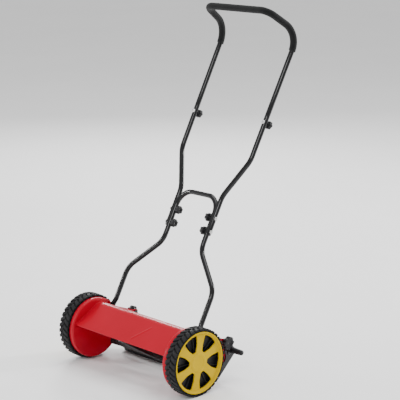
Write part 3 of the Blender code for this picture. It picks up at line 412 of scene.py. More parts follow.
def turned_mesh(bm, profile, steps=96, closed=False, lobes=0, depth=0.0, power=1.0):
    rings = []
    for x, r, *lobed in profile:
        if r == 0:
            rings.append([Vector((x, 0, 0))])
            continue
        ring = []
        for k in range(steps):
            a = 2 * math.pi * k / steps
            dip = lobed[0] * depth * ((1 - math.cos(lobes * a)) / 2) ** power if lobed else 0.0
            ring.append(Vector((x, (r - dip) * math.cos(a), (r - dip) * math.sin(a))))
        rings.append(ring)
    loft(bm, rings, close_path=closed)


def turned(name, profile, at, side=1, steps=96, closed=False, **lobes):
    bm = bmesh.new()
    turned_mesh(bm, [(side * x, *rest) for x, *rest in profile], steps, closed, **lobes)
    obj = finish_mesh(name, bm)
    obj.location = (0.0, at[0], at[1])
    return obj


def soften(profile, radius, steps=4):
    """Rounds every sharp corner of an open (x, r) profile a little."""
    made = [profile[0]]
    for before, here, after in zip(profile, profile[1:], profile[2:]):
        h = Vector(here[:2])
        one, two = Vector(before[:2]) - h, Vector(after[:2]) - h
        size = min(radius, one.length * 0.45, two.length * 0.45)
        if size < 0.02 * MM:
            made.append(here)
            continue
        a, b = h + one.normalized() * size, h + two.normalized() * size
        for k in range(steps + 1):
            t = k / steps
            p = a.lerp(h, t).lerp(h.lerp(b, t), t)
            made.append((p.x, p.y, *here[2:]))
    made.append(profile[-1])
    return made


def arc(centre, radius, start, end, steps):
    return [(centre[0] + radius * math.cos(math.radians(start + (end - start) * i / steps)),
             centre[1] + radius * math.sin(math.radians(start + (end - start) * i / steps)))
            for i in range(steps + 1)]


def rounded(corners, steps=8):
    outline = []
    count = len(corners)
    for i, (y, z, radius) in enumerate(corners):
        here = Vector((y, z))
        before = (Vector(corners[i - 1][:2]) - here).normalized()
        after = (Vector(corners[(i + 1) % count][:2]) - here).normalized()
        half = before.angle(after) / 2
        centre = here + (before + after).normalized() * radius / math.sin(half)
        first = here + before * radius / math.tan(half) - centre
        last = here + after * radius / math.tan(half) - centre
        turn = first.angle_signed(last)
        for k in range(steps + 1):
            spot = centre + first @ Matrix.Rotation(turn * k / steps, 2)
            outline.append((spot.x, spot.y))
    return outline


def prism(name, outline, x0, x1, side=1):
    bm = bmesh.new()
    loft(bm, [[Vector((x, y, z)) for y, z in outline] for x in (side * x0, side * x1)])
    return finish_mesh(name, bm)


def bars(name, spots, x0, x1, side=1, steps=40):
    bm = bmesh.new()
    for y, z, r in spots:
        loft(bm, [[Vector((x, y + r * math.cos(a), z + r * math.sin(a)))
                   for a in (2 * math.pi * k / steps for k in range(steps))] for x in (side * x0, side * x1)])
    return finish_mesh(name, bm)


def filleted(points, radii, steps=14):
    path = [points[0].copy()]
    for before, here, after, radius in zip(points, points[1:], points[2:], radii):
        one, two = (before - here).normalized(), (after - here).normalized()
        half = one.angle(two) / 2
        centre = here + (one + two).normalized() * radius / math.sin(half)
        first = here + one * radius / math.tan(half) - centre
        last = here + two * radius / math.tan(half) - centre
        axis = first.cross(last).normalized()
        for k in range(steps + 1):
            path.append(centre + Matrix.Rotation(first.angle(last) * k / steps, 3, axis) @ first)
    path.append(points[-1].copy())
    return path


def sweep(name, path, sections, steps=36):
    """A skin along a path; sections are the half sizes in the bend's plane and across it."""
    bm = bmesh.new()
    rings = []
    u = Vector((1, 0, 0))
    for i, here in enumerate(path):
        tangent = (path[min(i + 1, len(path) - 1)] - path[max(i - 1, 0)]).normalized()
        u = (u - tangent * u.dot(tangent)).normalized()
        v = tangent.cross(u)
        a, b = sections[i]
        rings.append([here + u * a * math.cos(t) + v * b * math.sin(t)
                      for t in (2 * math.pi * (k + 0.5) / steps for k in range(steps))])
    loft(bm, rings)
    return finish_mesh(name, bm, 50)


def both():
    return ((1, "left"), (-1, "right"))


def dress(name, look, edge=0.0):
    """A CAD node whose shape is right: it gets its finish, and soft edges."""
    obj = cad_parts[name]
    obj.data.materials.clear()
    obj.data.materials.append(LOOKS[look])
    if edge:
        bevel(obj, edge)


# ---------------------------------------------------------------- wheels

def make_tyre(side, name):
    """Ring of rubber with two rows of slanted tread blocks, staggered by half a block."""
    half = (TYRE_W - GAP) / 2
    mid = WHEEL_IN + half
    bm = bmesh.new()
    bore = RIM_R + GAP
    shoulder = TYRE_FLOOR_R - 1.6 * MM
    profile = [(-half + 0.4 * MM, bore), (-half, bore + 1 * MM), (-half, shoulder - MM),
               (-half + 1.2 * MM, shoulder), (-half + 4 * MM, TYRE_FLOOR_R),
               (-1.6 * MM, TYRE_FLOOR_R + 0.3 * MM), (0, TYRE_FLOOR_R - 0.6 * MM),
               (1.6 * MM, TYRE_FLOOR_R + 0.3 * MM), (half - 4 * MM, TYRE_FLOOR_R),
               (half - 1.2 * MM, shoulder), (half, shoulder - MM), (half, bore + 1 * MM),
               (half - 0.4 * MM, bore)]
    turned_mesh(bm, [(side * mid + x, r) for x, r in profile], 144, closed=True)
    pitch = 2 * math.pi / LUGS
    for row in (1, -1):
        for lug in range(LUGS):
            base = -math.pi / 2 + pitch * (lug + (0.25 if row > 0 else -0.25))
            rings = []
            for u, drop, wide in ((0.03, 0.5, 0.58), (0.12, 0.0, 0.60), (0.55, 0.0, 0.62), (0.86, 0.2, 0.66),
                                  (0.965, 1.0, 0.66), (1.0, 2.6, 0.62), (1.0, 6.4, 0.54)):
                x = row * u * half
                lean = base + pitch * 0.62 * (u - 0.5)
                w = wide * pitch / 2
                low = TYRE_FLOOR_R - 3 * MM if drop < 5 else TYRE_FLOOR_R - 4.6 * MM
                high = WHEEL_R - drop * MM
                ring = []
                for angle, r in ((-w * 1.10, low), (-w, high - 0.55 * MM), (-w * 0.86, high - 0.04 * MM),
                                 (w * 0.86, high - 0.04 * MM), (w, high - 0.55 * MM), (w * 1.10, low)):
                    a = lean + angle
                    ring.append(Vector((side * mid + x, r * math.cos(a), r * math.sin(a))))
                rings.append(ring)
            loft(bm, rings)
    obj = finish_mesh("tyre_tread_" + name, bm, 28)
    obj.location = (0.0, *AXLE)
    place(obj, "tyre_rubber", "wheel_" + name, "tyre_" + name)


def window_outline(middle, steps=10):
    """A leaf-like opening: a wide rounded end at the rim, one bowed side and a blunt inner tip."""
    low, high = middle - WINDOW_HALF, middle + WINDOW_HALF
    corners = [(WINDOW_TIP, middle - 0.12, 5.0 * MM), (WINDOW_BOW, low, 30 * MM), (WINDOW_RIM, low, 4.0 * MM),
               (WINDOW_RIM + 2.4 * MM, middle, 60 * MM), (WINDOW_RIM, high, 4.0 * MM),
               (WINDOW_BOW, middle + WINDOW_HALF * 1.05, 30 * MM), (WINDOW_TIP, middle + 0.22, 5.0 * MM)]
    return rounded([(r * math.cos(a), r * math.sin(a), f) for r, a, f in corners], steps)


def window_place(k):
    return WINDOW_TURN + 2 * math.pi * k / WINDOWS


def make_cover(side, name):
    """The dished wheel cover with its raised rim and boss, cut through by the windows."""
    face = COVER_IN + COVER_T
    edge = RIM_R - GAP
    inner = edge - COVER_RIM_W
    profile = [(COVER_IN, 0), (COVER_IN, inner - 3 * MM), (RIM_OUT + GAP, inner), (RIM_OUT + GAP, edge),
               (WHEEL_OUT, edge), (WHEEL_OUT, inner + 0.6 * MM), (face + 0.4 * MM, inner - 2.2 * MM),
               (face - 0.2 * MM, inner - 5 * MM), (face, 60 * MM), (face + 0.5 * MM, COVER_BOSS_R + 6 * MM),
               (face + 0.5 * MM, COVER_BOSS_R + 1.6 * MM), (face + COVER_BOSS_H, COVER_BOSS_R),
               (face + COVER_BOSS_H, 20 * MM), (face + 0.9 * MM, 19 * MM), (face + 0.9 * MM, 0)]
    obj = turned("cover_" + name, soften(profile, 0.7 * MM, 3), AXLE, side, 144)
    bm = bmesh.new()
    for k in range(WINDOWS):
        outline = window_outline(window_place(k))
        loft(bm, [[Vector((x, y, z)) for y, z in outline]
                  for x in (side * (COVER_IN - 3 * MM), side * (WHEEL_OUT + MM))])
    cutter = finish_mesh("windows", bm)
    cutter.location = (0.0, *AXLE)
    cut(obj, cutter)
    bevel(obj, 0.35 * MM, 2, 50)
    place(obj, "yellow_plastic", "wheel_" + name, "wheel_cover_" + name)


def make_lips(side, name):
    """Raised lips round the cover's windows, as a moulding has."""
    face = COVER_IN + COVER_T
    for k in range(WINDOWS):
        outline = window_outline(window_place(k), 6)
        middle = Vector((sum(p[0] for p in outline), sum(p[1] for p in outline))) / len(outline)
        rings = []
        for out, x in ((0.3, -0.6), (0.3, 0.15), (0.7, 0.3), (1.2, 0.15), (1.4, -0.6)):
            ring = []
            for i, point in enumerate(outline):
                p, q = Vector(outline[i - 1]), Vector(outline[(i + 1) % len(outline)])
                normal = Vector(((q - p).y, -(q - p).x)).normalized()
                if normal.dot(Vector(point) - middle) < 0:
                    normal.negate()
                spot = Vector(point) + normal * out * MM
                ring.append(Vector((side * (face + x * MM), spot.x, spot.y)))
            rings.append(ring)
        bm = bmesh.new()
        loft(bm, rings, close_path=True)
        lip = finish_mesh(f"cover_lip_{k + 1}_{name}", bm)
        lip.location = (0.0, *AXLE)
        place(lip, "yellow_plastic", "wheel_" + name)


def make_ribs(side, name):
    """Stiffening ribs on the outside of the wheel's web, seen through the cover's windows."""
    for k in range(RIBS):
        a = 2 * math.pi * k / RIBS
        out, over = Vector((math.cos(a), math.sin(a))), Vector((-math.sin(a), math.cos(a)))
        rings = []
        for r, h in ((14.5, 8.4), (40, 5.5), (70, 5.5), (88.9, 6.4)):
            ring = []
            for t, x in ((-1.1, -0.4), (-0.8, h - 0.3), (-0.4, h), (0.4, h), (0.8, h - 0.3), (1.1, -0.4)):
                p = out * r * MM + over * t * MM
                ring.append(Vector((side * (WEB_OUT + x * MM), p.x, p.y)))
            rings.append(ring)
        bm = bmesh.new()
        loft(bm, rings)
        rib = finish_mesh(f"wheel_rib_{k + 1}_{name}", bm)
        rib.location = (0.0, *AXLE)
        place(rib, "black_plastic", "wheel_" + name)


# ---------------------------------------------------------------- frame

def make_plate(side, name):
    """The pressed side plate: a cup behind the wheel, joined to a flat tail with the height slot."""
    flat = DRUM_R - DRUM_BEND_R
    rim = PLATE_IN + DRUM_DEPTH
    profile = [(PLATE_IN, 0), (PLATE_IN, 40 * MM), (PLATE_IN, flat - 2 * MM)]
    profile += arc((PLATE_IN + DRUM_BEND_R, flat), DRUM_BEND_R, 180, 90, 10)
    profile += [(rim - 0.8 * MM, DRUM_R), (rim - 0.2 * MM, DRUM_R - 0.3 * MM), (rim, DRUM_R - 1.2 * MM),
                (rim - 0.2 * MM, DRUM_R - PLATE_T + 0.3 * MM), (rim - 0.8 * MM, DRUM_R - PLATE_T)]
    profile += arc((PLATE_IN + DRUM_BEND_R, flat), DRUM_BEND_R - PLATE_T, 90, 180, 8) + [(PLATE_OUT, 0)]
    obj = turned("plate_" + name, profile, AXLE, side, 144)
    tail = prism("tail", rounded([
        (40 * MM, 140 * MM, 10 * MM), (70 * MM, 157 * MM, 8 * MM),
        (SLOT_TOP.x - 8 * MM, SLOT_TOP.y + 9.5 * MM, 6 * MM),
        (SLOT_TOP.x + 8.5 * MM, SLOT_TOP.y + 7 * MM, 6 * MM),
        (SLOT_LOW.x + 12 * MM, SLOT_LOW.y - 9 * MM, 10 * MM),
        (SLOT_LOW.x - 12 * MM, SLOT_LOW.y - 18 * MM, 10 * MM),
        (84 * MM, 51 * MM, 8 * MM), (40 * MM, 70 * MM, 10 * MM)]), PLATE_IN, PLATE_OUT, side)
    cut(obj, tail, "UNION")
    half = STUD_R + GAP
    over = ACROSS_SLOT * half
    top, low = SLOT_TOP + SLIDE * half, SLOT_LOW - SLIDE * half
    slot = prism("slot", rounded([(*(top - over), half * 0.98), (*(top + over), half * 0.98),
                                  (*(low + over), half * 0.98), (*(low - over), half * 0.98)]),
                 PLATE_IN - 5 * MM, PLATE_OUT + 2 * MM, side)
    cut(obj, slot)
    cut(obj, bars("holes", [
        (*AXLE, AXLE_HOLE_R), (*REEL, BEARING_HOLE_R), (*FRONT_ROD, ROD_HOLE_R), (*REAR_ROD, ROD_HOLE_R),
        (*BED_PIVOT, BED_PIN_HOLE_R), (*HINGE, STUD_R + GAP)], PLATE_IN - 5 * MM, PLATE_OUT + 2 * MM, side))
    bevel(obj, 0.5 * MM, 2, 55)
    place(obj, "red_paint", "frame", "side_plate_" + name)


def deck_section(offset, steps=22):
    """Outline of the deck sheet from its front edge over the crest, moved in by the offset."""
    front = Vector(DECK_FRONT)
    normal = Vector((math.sin(DECK_SLOPE), -math.cos(DECK_SLOPE)))
    along = Vector((math.cos(DECK_SLOPE), math.sin(DECK_SLOPE)))
    end = front + DECK_PANEL * along
    centre = end + normal * DECK_CREST_R
    panel = [front + normal * offset + along * DECK_PANEL * k / PANEL_STEPS for k in range(PANEL_STEPS)]
    crest = arc(centre, DECK_CREST_R - offset,
                90 + math.degrees(DECK_SLOPE), 90 + math.degrees(DECK_REAR_SLOPE), steps)
    return panel + [Vector(p) for p in crest]


def swage(x, share):
    """Height of the pressed diagonal rib on the panel; share runs from the front edge to the crest."""
    line = SWAGE_END - SWAGE_START
    spot = Vector((x, share * DECK_PANEL)) - SWAGE_START
    t = max(0.0, min(1.0, spot.dot(line) / line.length_squared))
    away = (spot - line * t).length
    return SWAGE_H * math.exp(-(away / SWAGE_W) ** 2)


def make_deck():
    """The folded deck sheet, with a hem under its front edge and a pressed rib."""
    outer, inner = deck_section(0.0), deck_section(SHEET_T)
    normal = Vector((-math.sin(DECK_SLOPE), math.cos(DECK_SLOPE)))
    front = Vector(DECK_FRONT)
    # The hem turns back under the front edge.
    hem = [(inner[0].x + 1.6 * MM, inner[0].y + 2.2 * MM), (front.x + DECK_HEM, front.y + 0.8 * MM),
           (front.x + DECK_HEM, front.y - 1.2 * MM), (front.x + 0.5 * MM, front.y - 1.5 * MM)]
    last = PLATE_IN - GAP
    bm = bmesh.new()
    rings = []
    for i in range(DECK_ROWS + 1):
        x = -last + 2 * last * i / DECK_ROWS
        ring = []
        for k, p in enumerate(outer):
            lift = swage(x, k / PANEL_STEPS) if 0 < k <= PANEL_STEPS else 0.0
            ring.append(Vector((x, *(p + normal * lift))))
        ring += [Vector((x, *p)) for p in inner[:0:-1] + hem]
        rings.append(ring)
    loft(bm, rings)
    obj = finish_mesh("deck_sheet", bm, 45)
    place(obj, "red_paint", "frame", "deck_cover")


def make_fillets():
    """Weld beads where the deck sheet meets the side plates."""
    for side, name in both():
        path = [Vector((side * (PLATE_IN - 0.4 * MM), *p)) for p in deck_section(-0.1 * MM, 12)[1:]]
        bead = sweep("deck_bead_" + name, path, [(1.5 * MM, 1.2 * MM)] * len(path), 14)
        place(bead, "red_paint", "frame")


def make_rods():
    """Tie rods, with a shoulder inside each plate and a riveted head outside it."""
    inside, head = PLATE_IN - GAP, PLATE_OUT + GAP
    half = [(0, 5.0 * MM), (inside, 5.0 * MM), (inside, 3.5 * MM), (head, 3.5 * MM), (head, 6.0 * MM),
            (head + 1.1 * MM, 5.7 * MM), (head + 1.9 * MM, 4.4 * MM), (head + 2.2 * MM, 2.4 * MM),
            (head + 2.2 * MM, 0)]
    for at, name in ((FRONT_ROD, "front_tie_rod"), (REAR_ROD, "rear_tie_rod")):
        obj = turned(name + "_round", [(-x, r) for x, r in half[:0:-1]] + half[1:], at, 1, 48)
        place(obj, "black_paint", "frame", name)


# ---------------------------------------------------------------- reel

def make_reel():
    """The five twisted blades, and the welds that hold each one to the spiders."""
    for index in range(BLADES):
        bm = bmesh.new()
        rings = []
        for i in range(BLADE_STEPS + 1):
            x = -REEL_HALF + 2 * REEL_HALF * i / BLADE_STEPS
            angle = 2 * math.pi * index / BLADES + BLADE_TWIST * x / (2 * REEL_HALF)
            out = Vector((0, math.cos(angle), math.sin(angle)))
            over = Vector((0, -math.sin(angle), math.cos(angle)))
            rings.append([Vector((x, 0, 0)) + out * r + over * t for r, t in (
                (REEL_R - BLADE_H, -BLADE_T / 2 + 0.3 * MM), (REEL_R - BLADE_H + 0.3 * MM, -BLADE_T / 2),
                (REEL_R - BLADE_T / 2, -BLADE_T / 2), (REEL_R - 0.06 * MM, BLADE_T / 6),
                (REEL_R - 0.06 * MM, BLADE_T / 2), (REEL_R - BLADE_H + 0.3 * MM, BLADE_T / 2),
                (REEL_R - BLADE_H, BLADE_T / 2 - 0.3 * MM))])
        loft(bm, rings)
        obj = finish_mesh(f"blade_{index + 1}", bm, 20)
        obj.location = (0, *REEL)
        place(obj, "blade_steel", "reel", f"reel_blade_{index + 1}")
        # Weld beads where the blade sits on each spider.
        for spider in range(SPIDERS):
            x = (spider - (SPIDERS - 1) / 2) * SPIDER_PITCH
            angle = 2 * math.pi * index / BLADES + BLADE_TWIST * x / (2 * REEL_HALF)
            out = Vector((0, math.cos(angle), math.sin(angle)))
            over = Vector((0, -math.sin(angle), math.cos(angle)))
            foot = Vector((0, *REEL)) + out * (REEL_R - BLADE_H + 0.1 * MM)
            path = [foot + Vector((x, 0, 0)) + over * t * MM for t in (-4, -3, -1, 1, 3, 4)]
            size = [(0.5 * MM, 0.4 * MM), (2.6 * MM, 1.2 * MM), (2.9 * MM, 1.5 * MM), (2.9 * MM, 1.5 * MM),
                    (2.6 * MM, 1.2 * MM), (0.5 * MM, 0.4 * MM)]
            place(sweep(f"reel_weld_{index + 1}_{spider + 1}", path, size, 12), "cast_iron", "reel")


# ---------------------------------------------------------------- roller and its brackets

def make_roller():
    """A ribbed plastic roller with rounded ends."""
    skin, floor = ROLLER_R - 0.05 * MM, ROLLER_R - 1.1 * MM
    profile = [(-ROLLER_HALF, ROLLER_BORE_R), (-ROLLER_HALF, ROLLER_R - 3 * MM),
               (-ROLLER_HALF + 1 * MM, ROLLER_R - 1 * MM), (-ROLLER_HALF + 3 * MM, skin)]
    for k in range(1, ROLLER_GROOVES):
        x = -ROLLER_HALF + 2 * ROLLER_HALF * k / ROLLER_GROOVES
        profile += [(x - 1.6 * MM, skin), (x - 1.0 * MM, floor), (x + 1.0 * MM, floor), (x + 1.6 * MM, skin)]
    profile += [(ROLLER_HALF - 3 * MM, skin), (ROLLER_HALF - 1 * MM, ROLLER_R - 1 * MM),
                (ROLLER_HALF, ROLLER_R - 3 * MM), (ROLLER_HALF, ROLLER_BORE_R)]
    obj = turned("roller_round", profile, ROLLER, 1, 72, closed=True)
    place(obj, "black_plastic", "roller", "rear_roller")


def make_bracket(side, name):
    """The strip that slides along the plate's slot and carries the roller's shaft."""
    screw = SCREW_POINT
    top = KNOB_POINT + SLIDE * 13 * MM
    wide = ACROSS_SLOT * 12 * MM
    leg = (ROLLER - screw).normalized()
    leg_wide = Vector((-leg.y, leg.x)) * 10 * MM
    foot = ROLLER + leg * 10 * MM
    corners = [(*(top - wide), 8 * MM), (*(top + wide), 8 * MM),
               (*(screw + SLIDE * 16 * MM + wide), 12 * MM),
               (*(screw + SLIDE * 8 * MM + 2.2 * wide), 8 * MM),
               (*(screw - SLIDE * 12 * MM + 2.2 * wide), 8 * MM),
               (*(foot + leg_wide), 9.5 * MM), (*(foot - leg_wide), 9.5 * MM),
               (*(screw - SLIDE * 14 * MM - wide), 20 * MM)]
    obj = prism("bracket_" + name, rounded(corners), BRACKET_IN, BRACKET_OUT, side)
    holes = [(*ROLLER, ROLLER_SHAFT_HOLE_R), (*KNOB_POINT, STUD_HOLE_R), (*SCREW_POINT, STUD_HOLE_R)]
    cut(obj, bars("holes", holes, BRACKET_IN - MM, BRACKET_OUT + MM, side))
    bevel(obj, 0.7 * MM, 3, 50)
    place(obj, "black_paint", "roller_carriage", "roller_bracket_" + name)


def make_peg(side, name):
    """The tapered, ringed peg that stands out from the bracket."""
    inner = BRACKET_OUT + GAP
    end = inner + PEG_L
    profile = [(inner, 0), (inner, PEG_R), (inner + 2.5 * MM, PEG_R), (inner + 4 * MM, PEG_R - 0.8 * MM)]
    for k in range(5):
        x = inner + (8 + 5.4 * k) * MM
        r = PEG_R - (0.9 + 0.22 * k) * MM
        ring = r - 0.5 * MM
        profile += [(x - 0.9 * MM, r), (x - 0.5 * MM, ring), (x + 0.5 * MM, ring), (x + 0.9 * MM, r)]
    profile += [(end - 4 * MM, PEG_R - 2.1 * MM), (end - 2 * MM, PEG_R - 2.9 * MM),
                (end - 0.7 * MM, PEG_R - 4.4 * MM), (end, PEG_R - 7 * MM), (end, 0)]
    at = SCREW_POINT + ACROSS_SLOT * (7 * MM + PEG_R)
    obj = turned("peg_" + name, profile, at, side, 48)
    place(obj, "black_plastic", "roller_carriage", "bracket_peg_" + name)


def make_height_knob(side, name):
    """The scalloped knob that clamps the bracket at its height."""
    face = BRACKET_OUT + GAP
    top = face + HEIGHT_KNOB_T
    bore = STUD_R + 0.06 * MM
    r = HEIGHT_KNOB_R
    profile = [(face, bore), (face, 9 * MM), (face + 1.6 * MM, 9.4 * MM), (face + 2.4 * MM, r - 3 * MM, 0.6),
               (face + 3.2 * MM, r - 0.8 * MM, 1), (face + 4.4 * MM, r, 1), (top - 3.4 * MM, r, 1),
               (top - 1.6 * MM, r - 0.7 * MM, 1), (top - 0.4 * MM, r - 2.4 * MM, 0.9),
               (top, r - 4.6 * MM, 0.6),
               (top - 0.3 * MM, 11 * MM), (top - 1.8 * MM, 10 * MM), (top - 1.8 * MM, bore + MM),
               (top - 2.2 * MM, bore)]
    obj = turned("height_grip_" + name, profile, KNOB_POINT, side, 160,
                 closed=True, lobes=8, depth=3.0 * MM, power=1.6)
    place(obj, "black_plastic", "height_knob_" + name, "height_knob_" + name)


# ---------------------------------------------------------------- handle

def on_handle(x, along, across=0.0):
    """A point so far out, along the handle from its hinge, and across it."""
    return Vector((x, *HINGE)) + ALONG * along + ACROSS * across


def mirrored(points):
    """The same points on the other side, in reverse, so that a path can run on through them."""
    return [Vector((-p.x, p.y, p.z)) for p in points[::-1]]


def make_lower_handle():
    """A hoop of round tube; its ends are pressed flat and rounded off for the hinge bolts."""
    start, sizes = [], []
    for along in (-10.9, -10.4, -9.2, -7.0, -4.0, 0.0, 5.0, 11.0):
        start.append(on_handle(FOOT_X + 5 * MM, along * MM))
        wide = math.sqrt(max(0.0, 121 - along * along)) * MM if along < 0 else FOOT_W / 2
        sizes.append((FOOT_T / 2 - (0.5 * MM if along < -10 else 0.0), max(wide, 2 * MM)))
    for k in range(1, 11):
        t = k / 10
        ease = t * t * (3 - 2 * t)
        start.append(on_handle(FOOT_X + 5 * MM * (1 - ease), (11 + 26 * t) * MM))
        sizes.append((FOOT_T / 2 + (TUBE_R - FOOT_T / 2) * ease, FOOT_W / 2 + (TUBE_R - FOOT_W / 2) * ease))
    half = [start[-1], on_handle(FOOT_X, HOOP_LOW), on_handle(HOOP_X, HOOP_BEND), on_handle(HOOP_X, HOOP_TOP)]
    middle = filleted(half + mirrored(half), [60 * MM, 60 * MM, 50 * MM, 50 * MM, 60 * MM, 60 * MM])
    path = start[:-1] + middle + mirrored(start[:-1])
    sections = sizes[:-1] + [(TUBE_R, TUBE_R)] * len(middle) + sizes[:-1][::-1]
    obj = sweep("hoop_tube", path, sections)
    bm = bmesh.new()
    for side in (1, -1):
        loft(bm, [[Vector((x, HINGE.x + 4.06 * MM * math.cos(a), HINGE.y + 4.06 * MM * math.sin(a)))
                   for a in (2 * math.pi * k / 32 for k in range(32))]
                  for x in (side * (FOOT_X - 5 * MM), side * (FOOT_X + 12 * MM))])
    cut(obj, finish_mesh("hinge_holes", bm))
    place(obj, "black_paint", "handle", "lower_handle")


def joint_x(along):
    """How far out the upper tubes are, where they lean outwards from the mid tubes' ends."""
    return GRIP_X + (UPPER_X - GRIP_X) * (along - MID_OUT) / (UPPER_BEND - MID_OUT)


def make_mid_tube(side, name):
    """The bent tube between the hoop's leg and the upper handle."""
    points = [on_handle(side * x, along) for x, along in (
        (MID_X, MID_START), (MID_X, MID_BEND), (GRIP_X, MID_OUT), (joint_x(SEAM), SEAM - GAP))]
    path = filleted(points, [75 * MM, 75 * MM])
    # The lower end is pressed in towards the hoop's leg and rounded off.
    sizes = [(TUBE_R, TUBE_R)] * len(path)
    extra = [on_handle(side * MID_X, MID_START + d * MM) for d in (0.6, 2.0, 5.0)]
    path = [path[0]] + extra + path[1:]
    sizes = [(TUBE_R - less * MM,) * 2 for less in (1.6, 0.9, 0.3)] + sizes[:len(path) - 3]
    obj = sweep("side_tube_" + name, path, sizes)
    leg = [on_handle(side * x, along) for x, along in (
        (HOOP_X, HOOP_BEND + 20 * MM), (HOOP_X, HOOP_TOP), (0.0, HOOP_TOP))]
    leg_path = filleted(leg, [50 * MM])
    cut(obj, sweep("nest", leg_path, [(TUBE_R + 0.15 * MM,) * 2] * len(leg_path)))
    place(obj, "black_paint", "handle", "mid_tube_" + name)


UPPER_RADII = [62 * MM, 36 * MM, 36 * MM, 62 * MM]


def upper_points():
    half = [on_handle(joint_x(SEAM), SEAM), on_handle(UPPER_X, UPPER_BEND), Vector((CROSSBAR_X, *CROSSBAR))]
    return half + mirrored(half)


def make_upper_handle():
    """The top bow of the handle, and the foam sleeve that covers its middle."""
    path = filleted(upper_points(), UPPER_RADII)
    ends = [path[0] + ALONG * d * MM for d in (0.4, 1.2)]
    path = [path[0]] + ends + path[1:-1] + mirrored(ends) + [path[-1]]
    sizes = [(TUBE_R,) * 2] * len(path)
    for i, less in ((0, 0.7), (1, 0.25)):
        sizes[i] = sizes[-1 - i] = (TUBE_R - less * MM,) * 2
    place(sweep("bow_tube", path, sizes), "black_paint", "handle", "upper_handle")
    points = upper_points()
    points[0] = points[0].lerp(points[1], (GRIP_START - SEAM) / (UPPER_BEND - SEAM))
    points[-1] = Vector((-points[0].x, points[0].y, points[0].z))
    path = filleted(points, UPPER_RADII, 22)
    ends = [path[0] + ALONG * d * MM for d in (0.3, 1.0, 2.2, 6.0)]
    path = [path[0]] + ends + path[1:-1] + mirrored(ends) + [path[-1]]
    sizes = [FOAM_R - 0.7 * MM] * len(path)
    for i, less in ((0, 1.9), (1, 1.1), (2, 0.9), (3, 0.75)):
        sizes[i] = sizes[-1 - i] = FOAM_R - less * MM
    sizes = [(s, s) for s in sizes]
    grip = sweep("foam_sleeve", path, sizes, 48)
    place(grip, "foam", "handle", "foam_grip")


def make_fastener(name, at, rotation, near, far):
    """A dome-head bolt with its washer, and a fluted knob on its end."""
    head, seat = near - GAP, far + GAP
    end = seat + KNOB_L
    bm = bmesh.new()
    turned_mesh(bm, soften([(head - 3.2 * MM, 0), (head - 3.2 * MM, 2.2 * MM), (head - 2.6 * MM, 4.0 * MM),
                            (head - 1.4 * MM, 5.5 * MM), (head, 6.2 * MM), (head, BOLT_R),
                            (end - 5 * MM, BOLT_R), (end - 5 * MM, 0)], 0.3 * MM, 2), 48)
    bolt = finish_mesh("dome_bolt_" + name, bm)
    bm = bmesh.new()
    bore = BOLT_R + 0.06 * MM
    turned_mesh(bm, [(seat, bore), (seat, 6.2 * MM), (seat + 0.3 * MM, 6.5 * MM), (seat + 2.6 * MM, 6.5 * MM),
                     (seat + 3.4 * MM, 8 * MM, 0.4), (seat + 4.2 * MM, KNOB_R - 0.9 * MM, 1),
                     (seat + 5.4 * MM, KNOB_R, 1), (end - 2.6 * MM, KNOB_R, 1),
                     (end - 1 * MM, KNOB_R - 0.6 * MM, 1), (end - 0.2 * MM, KNOB_R - 2 * MM, 0.9),
                     (end, KNOB_R - 3.6 * MM, 0.5), (end, 5.5 * MM),
                     (end - 1.2 * MM, 5 * MM), (end - 1.2 * MM, bore + MM), (end - 2 * MM, bore)],
                120, closed=True, lobes=6, depth=2.0 * MM, power=1.3)
    knob = finish_mesh("fluted_" + name, bm)
    for obj in (bolt, knob):
        obj.location = at
        obj.rotation_euler = rotation.to_euler()
    place(bolt, "zinc", "handle", "bolt_" + name)
    place(knob, "black_plastic", "knob_" + name, "knob_" + name)


def make_fasteners():
    """Two knobs where each mid tube laps the hoop's leg, and one through each telescoping joint."""
    lap = MID_X + TUBE_R - HOOP_X
    right = Vector((1, 0, 0))
    back = Matrix((ACROSS, right, ACROSS.cross(right))).transposed()
    for side, name in both():
        inward = Matrix.Rotation(math.pi if side > 0 else 0.0, 3, "Z")
        for row, along in zip(("lower", "upper"), LAP_BOLTS):
            make_fastener(f"{row}_{name}", on_handle(side * HOOP_X, along), inward, -lap, TUBE_R)
        top = on_handle(side * joint_x(TOP_BOLT), TOP_BOLT)
        make_fastener(f"top_{name}", top, back, -TUBE_R, TUBE_R)


# ---------------------------------------------------------------- room

def aimed(obj, target):
    """Turns a camera or light to face the target, and puts it in the scene."""
    obj.rotation_euler = (obj.location - target).to_track_quat("Z", "Y").to_euler()
    bpy.context.scene.collection.objects.link(obj)


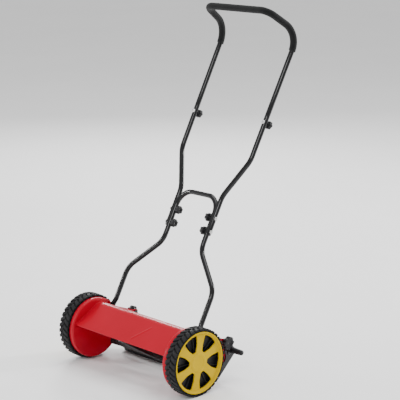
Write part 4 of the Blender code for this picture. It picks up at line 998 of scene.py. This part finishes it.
def make_room():
    """Camera at the photo's angle, a pale floor, and soft studio light."""
    scene = bpy.context.scene
    camera = bpy.data.objects.new("camera", bpy.data.cameras.new("camera"))
    camera.data.lens = LENS
    camera.data.sensor_width = SENSOR
    camera.location = CAMERA_AT
    aimed(camera, CAMERA_TARGET)
    scene.camera = camera

    mesh = bpy.data.meshes.new("floor")
    corners = [(x * FLOOR_HALF, y * FLOOR_HALF, 0) for x, y in ((-1, -1), (1, -1), (1, 1), (-1, 1))]
    mesh.from_pydata(corners, [], [(0, 1, 2, 3)])
    mesh.materials.append(floor_paint())
    floor = bpy.data.objects.new("floor", mesh)
    scene.collection.objects.link(floor)

    world = bpy.data.worlds.new("studio")
    world.use_nodes = True
    background = world.node_tree.nodes["Background"]
    background.inputs["Color"].default_value = (1.0, 1.0, 1.0, 1.0)
    background.inputs["Strength"].default_value = WORLD_STRENGTH
    scene.world = world
    for name, at, size, power, target in LIGHTS:
        light = bpy.data.lights.new(name, "AREA")
        light.shape = "RECTANGLE"
        light.size, light.size_y = size
        light.energy = power
        lamp = bpy.data.objects.new(name, light)
        lamp.location = at
        aimed(lamp, Vector(target))


make_room()
for side_sign, side_name in both():
    make_tyre(side_sign, side_name)
    make_cover(side_sign, side_name)
    make_lips(side_sign, side_name)
    make_ribs(side_sign, side_name)
    make_plate(side_sign, side_name)
    make_bracket(side_sign, side_name)
    make_peg(side_sign, side_name)
    make_height_knob(side_sign, side_name)
    make_mid_tube(side_sign, side_name)
    dress("wheel_core_" + side_name, "black_plastic")
    dress("pinion_" + side_name, "black_plastic", 0.3 * MM)
    dress("reel_bearing_" + side_name, "black_plastic", 0.4 * MM)
    dress("stub_axle_" + side_name, "zinc", 0.4 * MM)
    dress("axle_nut_" + side_name, "zinc", 0.6 * MM)
    dress("clamp_strip_" + side_name, "black_paint", 0.4 * MM)
    dress("foot_bolt_" + side_name, "zinc", 0.5 * MM)
make_deck()
make_fillets()
make_rods()
make_reel()
make_roller()
make_lower_handle()
make_upper_handle()
make_fasteners()
dress("reel_shaft", "black_paint", 0.5 * MM)
dress("roller_shaft", "zinc", 0.5 * MM)
dress("bed_knife", "blade_steel", 0.25 * MM)
dress("bed_bar", "cast_iron", 0.8 * MM)
for number in range(1, SPIDERS + 1):
    dress(f"reel_spider_{number}", "cast_iron", 0.6 * MM)
